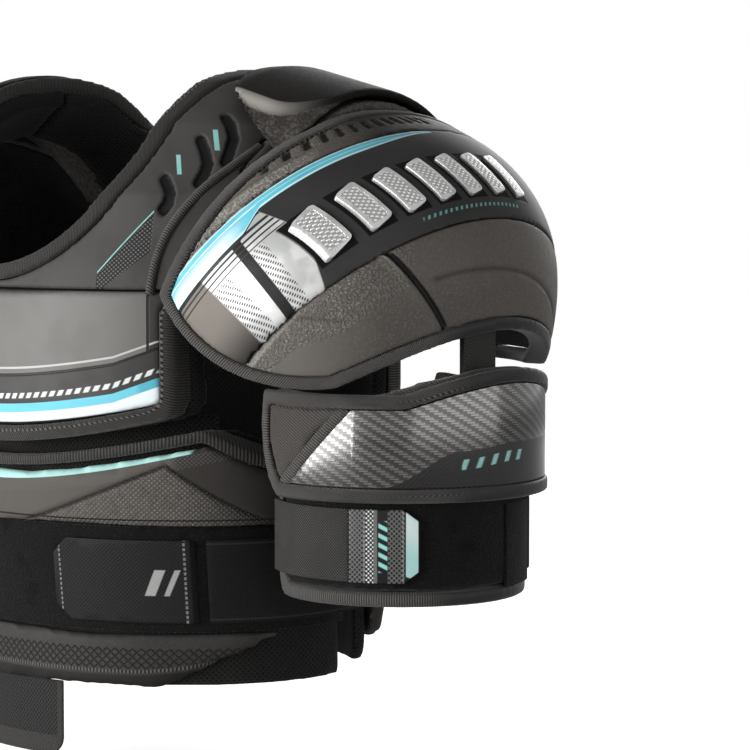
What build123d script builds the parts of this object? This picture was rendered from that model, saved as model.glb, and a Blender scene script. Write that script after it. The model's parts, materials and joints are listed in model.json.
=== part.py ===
from build123d import *
import math
import os
from functools import lru_cache

# Hockey shoulder pads, size large, in the shape they have on the wearer.
# The wearer faces -Y, the wearer's left side is +X and +Z is up. All sizes are in millimetres.
# The origin lies on the centre plane, level with the tops of the shoulders that carry the pads.

os.makedirs("parts", exist_ok=True)

# Fits
gap = 0.3                   # clearance between layers that lie on each other
seam = 0.7                  # gap between two panels side by side
reach = 400                 # length of a cutting prism, longer than the object

# Wearer's torso, which is the inside of the liners
shoulder_half_width = 134
chest_half_width = 148
chest_half_depth = 117
waist_half_width = 134
waist_half_depth = 105
chest_level = -160          # level of the deepest part of the chest
waist_level = -300

# Layers on the torso, counted outwards from the wearer
liner_thickness = 9
plate_thickness = 7
binding_thickness = 9
binding_width = 9
collar_width = 9
collar_thickness = 8
spine_thickness = 7
shoulder_seam_y = 5         # the front and back halves meet along the top of the shoulder

# Neck opening, armholes and outlines of the chest and back
neck_half_width = 92
neck_front_drop = 84
neck_back_drop = 36
armhole_half_depth = 62
armhole_half_height = 78
armhole_level = -86
chest_edge = 122            # half width of the chest below the armhole
chest_hem = -186
chest_hem_rise = 18         # how much higher the hem is at the side than in the middle
chest_corner_radius = 14
collar_shield_end = -97     # level where the collar shields meet the chest plate
collar_shield_width = 62
back_hem = -188
back_liner_hem = -332
back_half_width = 118
back_waist_half_width = 96
spine_count = 4
spine_pitch = 34
spine_half_width = 26

# Belly panels and waist strap
belly_travel = 5            # how far the belly panels slide up towards the chest
belly_clearance = 3         # gap that is then left
belly_liner_thickness = 5.7
belly_rear_y = 22           # rear edge of the belly panels at the wearer's side
rib_thickness = 9
rib_rear_y = -32            # rear edge of the thick rib panels, clear of the arms
rib_peak_x = 129
rib_side_drop = 34
rib_hem = -232
piping_width = 8
piping_thickness = 11
loop_thickness = 2.4
strap_top = -240
strap_width = 48
strap_thickness = 2.2
strap_back_x = 62           # where the strap is sewn to the back liner
belly_hem = -325
belly_pad_half_width = 136
belly_pad_run_out = 34      # how far each end of the belly pad slants up from its hem
label_length = 44
label_half_width = 40
label_thickness = 1.6
tab_seam_x = 121
tab_length = 78
tab_thickness = 3.2
tab_taper = 9
tab_fold = 2.5              # gap in front of the seam, in which the tab folds back

# Kidney pad, hung from the back plate's lower edge
kidney_top = -200
kidney_hem = -318
kidney_half_width = 104
kidney_thickness = 11

# Arm guard, turned about the upper arm
arm_radius = 54.5
arm_clearance = 3.5         # between the inside of the arm and the torso
arm_y = 4
wrap_top = -176
wrap_hem = -267
wrap_thickness = 15.5
wrap_medial = 39            # how far the wrap's ends reach past the arm's axis towards the torso
guard_top = -150            # upper edge in front and behind
guard_crest = -137          # upper edge at the arm's outer side
guard_hem = -209
guard_thickness = 7
guard_medial = 35
shield_thickness = 3
rim_thickness = 4.5
rim_width = 8
sleeve_gap = 0.8            # between the guard and what lies inside it
arm_strap_top = -213
arm_strap_width = 40
arm_strap_thickness = 2.2
arm_strap_start = 36        # angle of its sewn end, behind the arm's outer side
arm_tab_start = 69          # angle of the tab's seam, in front of the arm's outer side
arm_tab_end = 34
arm_tab_thickness = 3.2
webbing_thickness = 4.6
webbing_half_angle = 12
webbing_foot = -168
webbing_head = -104
webbing_inset = 2.6         # between the webbing and the cap's liner at its widest level

# Shoulder cap, a dome whose level sections are ellipses
cap_half_width = 152
cap_half_depth = 123
cap_y = 10
cap_level = -94             # level of the widest section
cap_rise = 104
cap_fall = 125
cap_roundness = 2.2
cap_wall = 12
cap_panel = 5.5
cap_binding_width = 7
cap_binding_bulge = 0.9
cap_notch = -117            # lower edge at the arm's outer side
cap_lobe = -148             # lowest point of the edge, in front
cap_rear_lobe = -141
cap_crest_x = 187           # edge towards the neck, on top of the shoulder
cap_tip_x = 133             # the same edge at its lower end, on the chest
cap_tip = -98
cap_crest = -6              # the same edge where it turns straight up
cap_edge_gap = 3            # between that edge and the chest
stripe_x = 229.5            # the stripe's upper edge, at the level of the origin
stripe_lean = 0.95
arch_half_depth = 108       # arch of the seam below the broad panel
arch_rise = 84
arch_base = -140
slit_top_y = -52            # slit between the two lower panels
slit_lean = 0.45
bar_count = 7
bar_pitch = 19
bar_width = 10.5
bar_length = 30
bar_middle = 42             # distance of the bars' middle from the stripe's upper edge
bar_row = -23               # place of the middle bar, from front to back
bar_lean = 18
bar_thickness = 1.8

# Arch pad over the top of the shoulder
arch_pad_top = 31
arch_pad_thickness = 19
arch_pad_edge = 4           # thickness that the pad tapers to, towards the cap
arch_pad_flat = 20          # width of the pad before it starts to slope
arch_pad_drop = 66          # half of the angle that the pad runs round the shoulder
arch_step_thickness = 8
arch_step_edge = 6
arch_front = 29             # level where the pads' front ends meet the neck's collar
arch_front_fall = 57        # how far those ends slope down towards the cap
arch_step_drop = 76
arch_turn_radius = 100

# Places that follow from the sizes above
arm_x = chest_half_width + arm_clearance + arm_radius
webbing_inner = arm_radius + 2.8
webbing_outer = webbing_inner + webbing_thickness
cap_x = arm_x + webbing_outer + webbing_inset + cap_wall - cap_half_width
edge_lean = (cap_crest_x - cap_tip_x) / (cap_crest - cap_tip)
plate_start = liner_thickness + gap
plate_end = plate_start + plate_thickness
strap_end = plate_start + strap_thickness
belly_start = gap + belly_liner_thickness + gap
belly_pad_top = strap_top - strap_width - belly_travel - 2 * seam
wrap_outer = arm_radius + wrap_thickness
guard_inner = wrap_outer + sleeve_gap
guard_outer = guard_inner + guard_thickness
guard_top_inner = webbing_outer + sleeve_gap
arch_pad_inner_x = neck_half_width + collar_width + seam
arch_axis = arch_pad_top - arch_turn_radius
arch_step_outer = arch_turn_radius - arch_pad_thickness - gap
arch_step_inner = arch_step_outer - arch_step_thickness
arch_end = arch_axis + arch_step_inner * math.cos(math.radians(arch_step_drop)) - seam


def torso_rings():
    """Level sections of the torso: height, half width, half depth, and how far the surface faces up."""
    return (
        (24, 0.47 * shoulder_half_width, 0.50 * chest_half_depth, 0.80),
        (8, 0.76 * shoulder_half_width, 0.64 * chest_half_depth, 0.80),
        (-14, shoulder_half_width, 0.78 * chest_half_depth, 0.70),
        (-48, 0.99 * chest_half_width, 0.92 * chest_half_depth, 0.30),
        (-100, chest_half_width, 0.98 * chest_half_depth, 0.05),
        (chest_level, 0.98 * chest_half_width, chest_half_depth, 0),
        (chest_level - 70, 0.46 * chest_half_width + 0.5 * waist_half_width, 0.95 * chest_half_depth, 0),
        (waist_level, waist_half_width, waist_half_depth, 0),
        (waist_level - 90, 1.02 * waist_half_width, waist_half_depth, 0),
    )


@lru_cache(maxsize=None)
def torso(offset):
    """The torso grown outwards by an offset, as a solid."""
    with BuildPart() as form:
        for height, half_width, half_depth, lift in torso_rings():
            outwards = offset * math.sqrt(1 - lift**2)
            with BuildSketch(Plane.XY.offset(height + offset * lift)):
                Ellipse(half_width + outwards, half_depth + outwards)
        loft(ruled=True)
    return form.part


@lru_cache(maxsize=None)
def dome(inset):
    """The shoulder cap's outer form shrunk inwards by an inset, as a solid."""
    with BuildPart() as form:
        for angle in (76, 64, 52, 38, 24, 10, -4, -16, -28, -40):
            width = math.cos(math.radians(angle)) ** (2 / cap_roundness)
            lift = abs(math.sin(math.radians(angle))) ** (2 / cap_roundness)
            height = (cap_rise - inset) * lift if angle > 0 else -cap_fall * lift
            with BuildSketch(Plane.XY.offset(cap_level + height)):
                with Locations((cap_x, cap_y)):
                    Ellipse((cap_half_width - inset) * width, (cap_half_depth - inset) * width)
        loft()
    return form.part


def layer(prism, inner, outer):
    """What a prism holds between two offsets of the torso."""
    return cut(common(prism, torso(outer)), torso(inner))


def cap_layer(prism, inner, outer):
    """What a prism holds between two insets of the cap's dome."""
    return cut(common(prism, dome(outer)), dome(inner))


def arm_ring(inner, outer, low, high):
    """A round sleeve about the arm's axis."""
    with BuildPart() as ring:
        with BuildSketch(Plane.XY.offset(low)):
            with Locations((arm_x, arm_y)):
                Circle(outer)
                Circle(inner, mode=Mode.SUBTRACT)
        extrude(amount=high - low)
    return ring.part


def arm_sector(start, end):
    """A wedge about the arm's axis between two angles, counted from the wearer's left towards the back."""
    middle = (start + end) / 2
    with BuildPart() as wedge:
        with BuildSketch():
            with BuildLine():
                Polyline(
                    (arm_x, arm_y),
                    *[
                        (
                            arm_x + reach * math.cos(math.radians(angle)),
                            arm_y + reach * math.sin(math.radians(angle)),
                        )
                        for angle in (start, middle, end)
                    ],
                    close=True,
                )
            make_face()
        extrude(amount=reach, both=True)
    return wedge.part


def band(low, high):
    """A level slab over the whole object."""
    with BuildPart() as slab:
        with BuildSketch(Plane.XY.offset(low)):
            Rectangle(2 * reach, 2 * reach)
        extrude(amount=high - low)
    return slab.part


def cut(solid, *cutters):
    """A solid less the cutters."""
    with BuildPart() as rest:
        add(solid)
        for cutter in cutters:
            add(cutter, mode=Mode.SUBTRACT)
    return rest.part


def common(solid, *others):
    """What a solid shares with every one of the others."""
    with BuildPart() as shared:
        add(solid)
        for other in others:
            add(other, mode=Mode.INTERSECT)
    return shared.part


def save(name, solid):
    """Labels a finished piece and writes it as its own node."""
    solid.label = name
    export_step(solid, f"parts/{name}.step")


def save_pair(name, solid):
    """Writes a left piece and its mirror image."""
    save(f"left_{name}", solid)
    save(f"right_{name}", mirror(solid, about=Plane.YZ))


# ---------------------------------------------------------------- outlines of the chest and back


@lru_cache(maxsize=None)
def neck(growth):
    """The neck opening as a prism, deeper in front than behind, grown outwards."""
    half_width = neck_half_width + growth
    with BuildPart() as prism:
        for drop, depth in ((neck_front_drop, reach), (neck_back_drop, -reach)):
            with BuildSketch(Plane.XZ.offset(-shoulder_seam_y)):
                with BuildLine():
                    ThreePointArc((-half_width, 0), (0, -drop - growth), (half_width, 0))
                    Polyline((half_width, 0), (half_width, reach / 4), (-half_width, reach / 4), (-half_width, 0))
                make_face()
            extrude(amount=depth)
    return prism.part


@lru_cache(maxsize=None)
def armholes(growth):
    """Both armholes as one prism from side to side."""
    with BuildPart() as prism:
        with BuildSketch(Plane.YZ):
            with Locations((shoulder_seam_y, armhole_level)):
                SlotOverall(2 * (armhole_half_height + growth), 2 * (armhole_half_depth + growth), 90)
        extrude(amount=reach, both=True)
    return prism.part


@lru_cache(maxsize=None)
def shoulder_tops():
    """The room on both shoulders that the arch pads take up. In front it ends at a sloping line."""
    inner = arch_pad_inner_x - seam
    slope = arch_front_fall / (cap_crest_x - arch_pad_inner_x)
    with BuildPart() as room:
        for front in (False, True):
            low = arch_front if front else arch_end
            with BuildSketch(Plane.XZ.offset(-shoulder_seam_y)):
                with BuildLine():
                    Polyline(
                        (inner, low),
                        (reach, low - slope * (reach - inner) if front else low),
                        (reach, reach / 4),
                        (inner, reach / 4),
                        close=True,
                    )
                make_face()
                mirror(about=Plane.YZ)
            extrude(amount=reach if front else -reach)
    return room.part


def edge_above(half_width):
    """Level at which the side edge of the chest or back, which leans outwards, starts from a half width."""
    return cap_tip - (cap_tip_x - cap_edge_gap - half_width) / edge_lean


@lru_cache(maxsize=None)
def chest(inset):
    """The chest's front outline, as a prism in front of the shoulder seam."""
    side_hem = chest_hem + chest_hem_rise
    with BuildPart() as prism:
        with BuildSketch(Plane.XZ.offset(-shoulder_seam_y + gap)):
            with BuildLine():
                Polyline(
                    (chest_edge, side_hem),
                    (chest_edge, edge_above(chest_edge)),
                    (cap_crest_x - cap_edge_gap, cap_crest),
                    (cap_crest_x - cap_edge_gap, reach / 4),
                    (-cap_crest_x + cap_edge_gap, reach / 4),
                    (-cap_crest_x + cap_edge_gap, cap_crest),
                    (-chest_edge, edge_above(chest_edge)),
                    (-chest_edge, side_hem),
                )
                ThreePointArc((-chest_edge, side_hem), (0, chest_hem), (chest_edge, side_hem))
            make_face()
            fillet(vertices().sort_by(Axis.Y)[:2], radius=chest_corner_radius)
            if inset:
                offset(amount=-inset, kind=Kind.INTERSECTION, mode=Mode.REPLACE)
        extrude(amount=reach)
        add(armholes(inset), mode=Mode.SUBTRACT)
    return prism.part


@lru_cache(maxsize=None)
def back(inset):
    """The back plate's outline, as a prism behind the shoulder seam."""
    with BuildPart() as prism:
        with BuildSketch(Plane.XZ.offset(-shoulder_seam_y - gap)):
            with BuildLine():
                Polyline(
                    (back_half_width, back_hem),
                    (back_half_width, edge_above(back_half_width)),
                    (cap_crest_x - cap_edge_gap, cap_crest),
                    (cap_crest_x - cap_edge_gap, reach / 4),
                    (0, reach / 4),
                    (0, back_hem),
                    close=True,
                )
            make_face()
            mirror(about=Plane.YZ)
            fillet(vertices().sort_by(Axis.Y)[:2], radius=2 * chest_corner_radius)
            if inset:
                offset(amount=-inset, kind=Kind.INTERSECTION, mode=Mode.REPLACE)
        extrude(amount=-reach)
        add(armholes(inset), mode=Mode.SUBTRACT)
    return prism.part


@lru_cache(maxsize=None)
def back_waist():
    """The tail of the back liner that runs down to the waist, which the waist straps are sewn to."""
    with BuildPart() as prism:
        with BuildSketch(Plane.XZ.offset(-shoulder_seam_y - gap)):
            with Locations((0, 0.5 * (chest_level + back_liner_hem))):
                RectangleRounded(2 * back_waist_half_width, chest_level - back_liner_hem, chest_corner_radius)
        extrude(amount=-reach)
    return prism.part


# ---------------------------------------------------------------- neck, chest and back

above_plate = band(0.5 * chest_hem, reach / 4)

with BuildPart() as neck_collar:
    add(layer(cut(common(above_plate, neck(collar_width)), neck(0)), plate_start, plate_start + collar_thickness))
save("neck_collar", neck_collar.part)

with BuildPart() as chest_liner:
    add(layer(cut(chest(0), neck(0)), 0, liner_thickness))
save("chest_liner", chest_liner.part)

with BuildPart() as back_liner:
    add(layer(cut(back(0), neck(0)), 0, liner_thickness))
    add(layer(back_waist(), 0, liner_thickness))
save("back_liner", back_liner.part)

with BuildPart() as chest_plate:
    add(
        layer(
            common(cut(chest(binding_width + seam), neck(collar_width + seam)), band(-reach, collar_shield_end - seam)),
            plate_start,
            plate_end,
        )
    )
save("chest_plate", chest_plate.part)

with BuildPart() as chest_binding:
    add(
        layer(
            cut(chest(0), chest(binding_width), neck(collar_width + seam), shoulder_tops()),
            plate_start,
            plate_start + binding_thickness,
        )
    )
save("chest_binding", chest_binding.part)

with BuildPart() as collar_shield:
    add(
        layer(
            common(
                cut(chest(binding_width + seam), neck(collar_width + seam), shoulder_tops()),
                neck(collar_width + collar_shield_width),
                band(collar_shield_end, reach / 4),
            ),
            plate_start,
            plate_end,
        )
    )
    split(bisect_by=Plane.YZ.offset(seam))
save_pair("collar_shield", collar_shield.part)

with BuildPart() as back_plate:
    add(
        layer(
            cut(back(binding_width + seam), neck(collar_width + seam), shoulder_tops()),
            plate_start,
            plate_end,
        )
    )
save("back_plate", back_plate.part)

with BuildPart() as back_binding:
    add(
        layer(
            cut(back(0), back(binding_width), neck(collar_width + seam), shoulder_tops()),
            plate_start,
            plate_start + binding_thickness,
        )
    )
save("back_binding", back_binding.part)

spine_middle = 0.5 * (back_hem + binding_width - neck_back_drop - collar_width)
with BuildPart() as spine_pads:
    with BuildSketch(Plane.XZ):
        with Locations((0, spine_middle)):
            with GridLocations(0, spine_pitch, 1, spine_count):
                Trapezoid(2 * spine_half_width, spine_pitch - 4, 76)
                fillet(vertices().group_by(Axis.Y)[-1], radius=3)
    extrude(amount=-reach)
with BuildPart() as spine_guard:
    add(layer(spine_pads.part, plate_end + gap, plate_end + gap + spine_thickness))
save("spine_guard", spine_guard.part)


# ---------------------------------------------------------------- belly panels and waist straps


@lru_cache(maxsize=None)
def belly(inset, rear):
    """The belly panels' outline, a little below the chest's hem, as a prism that runs forwards from a rear edge."""
    drop = belly_travel + belly_clearance
    with BuildPart() as prism:
        with BuildSketch(Plane.XZ.offset(-rear)):
            with BuildLine():
                top = ThreePointArc(
                    (-rib_peak_x, chest_hem + chest_hem_rise - drop),
                    (0, chest_hem - drop),
                    (rib_peak_x, chest_hem + chest_hem_rise - drop),
                )
                Polyline(
                    top @ 1,
                    (1.3 * rib_peak_x, chest_hem + chest_hem_rise - drop - rib_side_drop),
                    (1.3 * rib_peak_x, belly_hem),
                    (-1.3 * rib_peak_x, belly_hem),
                    (-1.3 * rib_peak_x, chest_hem + chest_hem_rise - drop - rib_side_drop),
                    top @ 0,
                )
            make_face()
            if inset:
                offset(amount=-inset, kind=Kind.INTERSECTION, mode=Mode.REPLACE)
        extrude(amount=reach)
    return prism.part


with BuildPart() as belly_liner:
    add(layer(belly(0, belly_rear_y), gap, gap + belly_liner_thickness))
save("belly_liner", belly_liner.part)

above_strap = band(rib_hem, 0)
with BuildPart() as rib_panel:
    add(
        layer(
            common(belly(piping_width + seam, rib_rear_y), above_strap),
            belly_start,
            belly_start + rib_thickness,
        )
    )
    split(bisect_by=Plane.YZ.offset(seam))
save_pair("rib_panel", rib_panel.part)

with BuildPart() as rib_piping:
    add(
        layer(
            common(cut(belly(0, rib_rear_y), belly(piping_width, rib_rear_y)), above_strap),
            belly_start,
            belly_start + piping_thickness,
        )
    )
    split(bisect_by=Plane.YZ.offset(seam))
save_pair("rib_piping", rib_piping.part)

with BuildPart() as waist_loop_band:
    add(
        layer(
            common(belly(0, belly_rear_y), band(belly_pad_top + seam, rib_hem - seam)),
            plate_start - gap - loop_thickness,
            plate_start - gap,
        )
    )
save("waist_loop_band", waist_loop_band.part)

with BuildPart() as belly_pad_outline:
    with BuildSketch(Plane.XZ):
        with BuildLine():
            Polyline(
                (-belly_pad_half_width, belly_pad_top),
                (-belly_pad_half_width, belly_pad_top - rib_thickness),
                (-belly_pad_half_width + belly_pad_run_out, belly_hem),
                (belly_pad_half_width - belly_pad_run_out, belly_hem),
                (belly_pad_half_width, belly_pad_top - rib_thickness),
                (belly_pad_half_width, belly_pad_top),
                close=True,
            )
        make_face()
    extrude(amount=reach)
with BuildPart() as belly_pad:
    add(layer(belly_pad_outline.part, belly_start, belly_start + rib_thickness))
save("belly_pad", belly_pad.part)

with BuildPart() as label_outline:
    with BuildSketch(Plane.XZ):
        with Locations((0, belly_hem - seam - 0.5 * label_length)):
            Rectangle(2 * label_half_width, label_length)
        fillet(vertices().group_by(Axis.Y)[0], radius=0.25 * label_length)
    extrude(amount=reach)
with BuildPart() as size_label:
    add(layer(label_outline.part, belly_start, belly_start + label_thickness))
save("size_label", size_label.part)

with BuildPart() as strap_room:
    with BuildSketch(Plane.XY.offset(strap_top - strap_width)):
        with BuildLine():
            Polyline(
                (tab_seam_x, -reach),
                (tab_seam_x, 0),
                (strap_back_x, 0),
                (strap_back_x, reach),
                (reach, reach),
                (reach, -reach),
                close=True,
            )
        make_face()
    extrude(amount=strap_width)
with BuildPart() as waist_elastic:
    add(layer(strap_room.part, plate_start, strap_end))
save_pair("waist_elastic", waist_elastic.part)

with BuildPart() as tab_outline:
    with BuildSketch(Plane.XZ):
        with BuildLine():
            Polyline(
                (tab_seam_x - tab_fold, strap_top),
                (tab_seam_x - tab_fold, strap_top - strap_width),
                (tab_seam_x - tab_length + tab_taper, strap_top - strap_width),
                (tab_seam_x - tab_length, strap_top - strap_width + tab_taper),
                (tab_seam_x - tab_length, strap_top - tab_taper),
                (tab_seam_x - tab_length + tab_taper, strap_top),
                close=True,
            )
        make_face()
    extrude(amount=reach)
with BuildPart() as waist_tab:
    add(layer(tab_outline.part, plate_start, plate_start + tab_thickness))
save_pair("waist_tab", waist_tab.part)

with BuildPart() as kidney_outline:
    with BuildSketch(Plane.XZ):
        with Locations((0, 0.5 * (kidney_top + kidney_hem))):
            RectangleRounded(2 * kidney_half_width, kidney_top - kidney_hem, 2 * chest_corner_radius)
    extrude(amount=-reach)
with BuildPart() as kidney_pad:
    add(layer(kidney_outline.part, strap_end + gap, strap_end + gap + kidney_thickness))
save("kidney_pad", kidney_pad.part)


# ---------------------------------------------------------------- shoulder cap


@lru_cache(maxsize=None)
def cap_front(inset):
    """The cap's outline seen from the front: the edge towards the neck and the lobe below."""
    width = cap_x + cap_half_width - cap_tip_x
    low = (cap_tip_x + 0.62 * width, cap_lobe)
    with BuildPart() as prism:
        with BuildSketch(Plane.XZ):
            with BuildLine():
                Polyline(
                    (cap_tip_x, cap_tip),
                    (cap_crest_x, cap_crest),
                    (cap_crest_x, reach / 4),
                    (reach, reach / 4),
                    (reach, cap_lobe),
                    low,
                )
                ThreePointArc(low, (cap_tip_x + 0.16 * width, 0.42 * cap_tip + 0.58 * cap_lobe), (cap_tip_x, cap_tip))
            make_face()
            if inset:
                offset(amount=-inset, kind=Kind.INTERSECTION, mode=Mode.REPLACE)
        extrude(amount=reach, both=True)
    return prism.part


@lru_cache(maxsize=None)
def cap_side(inset):
    """The cap's outline seen from the side: lobes in front and behind, and the notch over the arm between them."""
    with BuildPart() as prism:
        with BuildSketch(Plane.YZ):
            with BuildLine():
                notch = ThreePointArc(
                    (cap_y - 0.67 * cap_half_depth, cap_lobe - 1),
                    (arm_y, cap_notch),
                    (cap_y + 0.60 * cap_half_depth, cap_rear_lobe),
                )
                Polyline(
                    notch @ 1,
                    (cap_y + 1.2 * cap_half_depth, cap_rear_lobe),
                    (cap_y + 1.2 * cap_half_depth, reach / 4),
                    (cap_y - 1.2 * cap_half_depth, reach / 4),
                    (cap_y - 1.2 * cap_half_depth, cap_lobe - 1),
                    notch @ 0,
                )
            make_face()
            if inset:
                offset(amount=-inset, kind=Kind.INTERSECTION, mode=Mode.REPLACE)
        extrude(amount=reach)
    return prism.part


@lru_cache(maxsize=None)
def cap(inset):
    """Both outlines of the cap together."""
    return common(cap_front(inset), cap_side(inset))


@lru_cache(maxsize=None)
def above_stripe(growth):
    """The room between the cap's stripe and the neck, as a prism from front to back."""
    with BuildPart() as prism:
        with BuildSketch(Plane.XZ):
            with BuildLine():
                Polyline(
                    (stripe_x + growth, 0),
                    (stripe_x + growth + stripe_lean * cap_lobe, cap_lobe),
                    (-reach, cap_lobe),
                    (-reach, reach / 4),
                    (stripe_x + growth + stripe_lean * reach / 4, reach / 4),
                    close=True,
                )
            make_face()
        extrude(amount=reach, both=True)
    return prism.part


@lru_cache(maxsize=None)
def under_arch(growth):
    """The room under the arched seam of the cap, as a prism from side to side."""
    with BuildPart() as prism:
        with BuildSketch(Plane.YZ):
            with Locations((cap_y, arch_base)):
                Ellipse(arch_half_depth + growth, arch_rise + growth)
        extrude(amount=reach)
    return prism.part


@lru_cache(maxsize=None)
def before_slit(growth):
    """The room in front of the slit between the cap's lower panels."""
    with BuildPart() as prism:
        with BuildSketch(Plane.YZ):
            with BuildLine():
                Polyline(
                    (slit_top_y + growth - slit_lean * (reach / 4 + arch_base + arch_rise), reach / 4),
                    (slit_top_y + growth + slit_lean * (arch_base + arch_rise + reach), -reach),
                    (-reach, -reach),
                    (-reach, reach / 4),
                    close=True,
                )
            make_face()
        extrude(amount=reach)
    return prism.part


with BuildPart() as cap_liner:
    add(cap_layer(cap(cap_binding_width + seam), cap_wall, cap_panel + gap))
save_pair("cap_liner", cap_liner.part)

with BuildPart() as cap_binding:
    add(cap_layer(cut(cap(0), cap(cap_binding_width)), cap_wall, -cap_binding_bulge))
save_pair("cap_binding", cap_binding.part)

cap_face = cap(cap_binding_width + seam)

with BuildPart() as cap_top_panel:
    add(cap_layer(common(cap_face, above_stripe(-0.5 * seam)), cap_panel, 0))
save_pair("cap_top_panel", cap_top_panel.part)

with BuildPart() as cap_print_panel:
    add(cap_layer(cut(cap_face, above_stripe(0.5 * seam), under_arch(0.5 * seam)), cap_panel, 0))
save_pair("cap_print_panel", cap_print_panel.part)

lower_face = cut(common(cap_face, under_arch(-0.5 * seam)), above_stripe(0.5 * seam))
with BuildPart() as cap_front_panel:
    add(cap_layer(common(lower_face, before_slit(-0.5 * seam)), cap_panel, 0))
save_pair("cap_front_panel", cap_front_panel.part)

with BuildPart() as cap_rear_panel:
    add(cap_layer(cut(lower_face, before_slit(0.5 * seam)), cap_panel, 0))
save_pair("cap_rear_panel", cap_rear_panel.part)

print_plane = Plane(origin=(stripe_x, bar_row, 0), x_dir=(0, 1, 0), z_dir=(stripe_lean, 0, 1))
with BuildPart() as bar_outlines:
    with BuildSketch(print_plane):
        for index in range(bar_count):
            with Locations(((index - 0.5 * (bar_count - 1)) * bar_pitch, -bar_middle)):
                RectangleRounded(bar_width, bar_length, 0.2 * bar_width, rotation=bar_lean)
    extrude(amount=reach, both=True)
with BuildPart() as cap_bars:
    add(cap_layer(cut(common(cap_face, bar_outlines.part), under_arch(0.4 * bar_width)), -gap, -gap - bar_thickness))
save_pair("cap_bars", cap_bars.part)


# ---------------------------------------------------------------- arch pad on the shoulder


@lru_cache(maxsize=None)
def cap_room():
    """The room on the cap's side of its edge towards the neck, as a prism from front to back."""
    with BuildPart() as prism:
        with BuildSketch(Plane.XZ):
            with BuildLine():
                Polyline(
                    (cap_tip_x - seam, cap_tip),
                    (cap_crest_x - seam, cap_crest),
                    (cap_crest_x - seam, reach / 4),
                    (reach, reach / 4),
                    (reach, cap_tip),
                    close=True,
                )
            make_face()
        extrude(amount=reach, both=True)
    return prism.part


@lru_cache(maxsize=None)
def collar_room():
    """The room in front of the pads' sloping front ends, where the collar shields lie."""
    with BuildPart() as prism:
        with BuildSketch(Plane.XZ.offset(-shoulder_seam_y)):
            with BuildLine():
                Polyline(
                    (arch_pad_inner_x - seam, arch_front + seam),
                    (cap_crest_x + seam, arch_front + seam - arch_front_fall),
                    (cap_crest_x + seam, -reach),
                    (-reach, -reach),
                    (-reach, arch_front + seam),
                    close=True,
                )
            make_face()
        extrude(amount=reach)
    return prism.part


def arch_ring(inner, outer, edge, drop):
    """A pad that runs over the shoulder from front to back, and thins out to an edge towards the cap."""
    slope = math.radians(drop)
    start = Plane(
        origin=(0, shoulder_seam_y, arch_axis),
        x_dir=(1, 0, 0),
        z_dir=(0, -math.cos(slope), -math.sin(slope)),
    )
    with BuildPart() as pad:
        with BuildSketch(start):
            with BuildLine():
                Polyline(
                    (arch_pad_inner_x, inner),
                    (cap_crest_x, inner),
                    (cap_crest_x, inner + edge),
                    (arch_pad_inner_x + arch_pad_flat, outer),
                    (arch_pad_inner_x, outer),
                    close=True,
                )
            make_face()
            fillet(vertices().sort_by(Axis.Y)[-2:], radius=0.25 * (outer - inner))
        revolve(axis=Axis((0, shoulder_seam_y, arch_axis), (-1, 0, 0)), revolution_arc=2 * drop)
    return cut(pad.part, torso(plate_start), cap_room(), collar_room())


with BuildPart() as arch_pad:
    add(arch_ring(arch_turn_radius - arch_pad_thickness, arch_turn_radius, arch_pad_edge, arch_pad_drop))
save_pair("arch_pad", arch_pad.part)

with BuildPart() as arch_step:
    add(arch_ring(arch_step_inner, arch_step_outer, arch_step_edge, arch_step_drop))
save_pair("arch_step", arch_step.part)


# ---------------------------------------------------------------- arm guard


@lru_cache(maxsize=None)
def guard(inset):
    """The guard's outline: a curved leading edge seen from the front, and a raised crest seen from the side."""
    with BuildPart() as prism:
        with BuildSketch(Plane.XZ):
            with BuildLine():
                edge = ThreePointArc(
                    (arm_x - 0.5 * guard_medial, guard_hem),
                    (arm_x - guard_medial, 0.5 * (guard_hem + guard_top)),
                    (arm_x - 0.7 * guard_medial, guard_crest),
                )
                Polyline(edge @ 1, (reach, guard_crest), (reach, guard_hem), edge @ 0)
            make_face()
            if inset:
                offset(amount=-inset, kind=Kind.INTERSECTION, mode=Mode.REPLACE)
        extrude(amount=reach, both=True)
        with BuildSketch(Plane.YZ):
            with BuildLine():
                crest = ThreePointArc(
                    (arm_y + 0.86 * guard_outer, guard_top - inset),
                    (arm_y + 0.07 * guard_outer, guard_crest - inset),
                    (arm_y - 0.72 * guard_outer, guard_top - inset),
                )
                Polyline(
                    crest @ 1,
                    (-reach, guard_top - inset),
                    (-reach, guard_hem + inset),
                    (reach, guard_hem + inset),
                    (reach, guard_top - inset),
                    crest @ 0,
                )
            make_face()
        extrude(amount=reach, mode=Mode.INTERSECT)
    return prism.part


with BuildPart() as pad_turned:
    with BuildSketch(Plane(origin=(arm_x, arm_y, 0), x_dir=(1, 0, 0), z_dir=(0, -1, 0))):
        with BuildLine():
            Polyline(
                (guard_top_inner, guard_crest),
                (guard_top_inner, wrap_top + 2 * sleeve_gap),
                (guard_inner, wrap_top + sleeve_gap),
                (guard_inner, guard_hem),
                (guard_outer, guard_hem),
                (guard_outer, guard_crest),
                close=True,
            )
        make_face()
    revolve(axis=Axis((arm_x, arm_y, 0), (0, 0, 1)))
with BuildPart() as bicep_pad:
    add(common(pad_turned.part, guard(0)))
save_pair("bicep_pad", bicep_pad.part)

with BuildPart() as bicep_shield:
    add(
        common(
            arm_ring(guard_outer + gap, guard_outer + gap + shield_thickness, guard_hem, guard_crest),
            guard(rim_width + seam),
        )
    )
save_pair("bicep_shield", bicep_shield.part)

with BuildPart() as bicep_binding:
    add(
        cut(
            common(arm_ring(guard_outer + gap, guard_outer + gap + rim_thickness, guard_hem, guard_crest), guard(0)),
            guard(rim_width),
        )
    )
save_pair("bicep_binding", bicep_binding.part)


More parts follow.
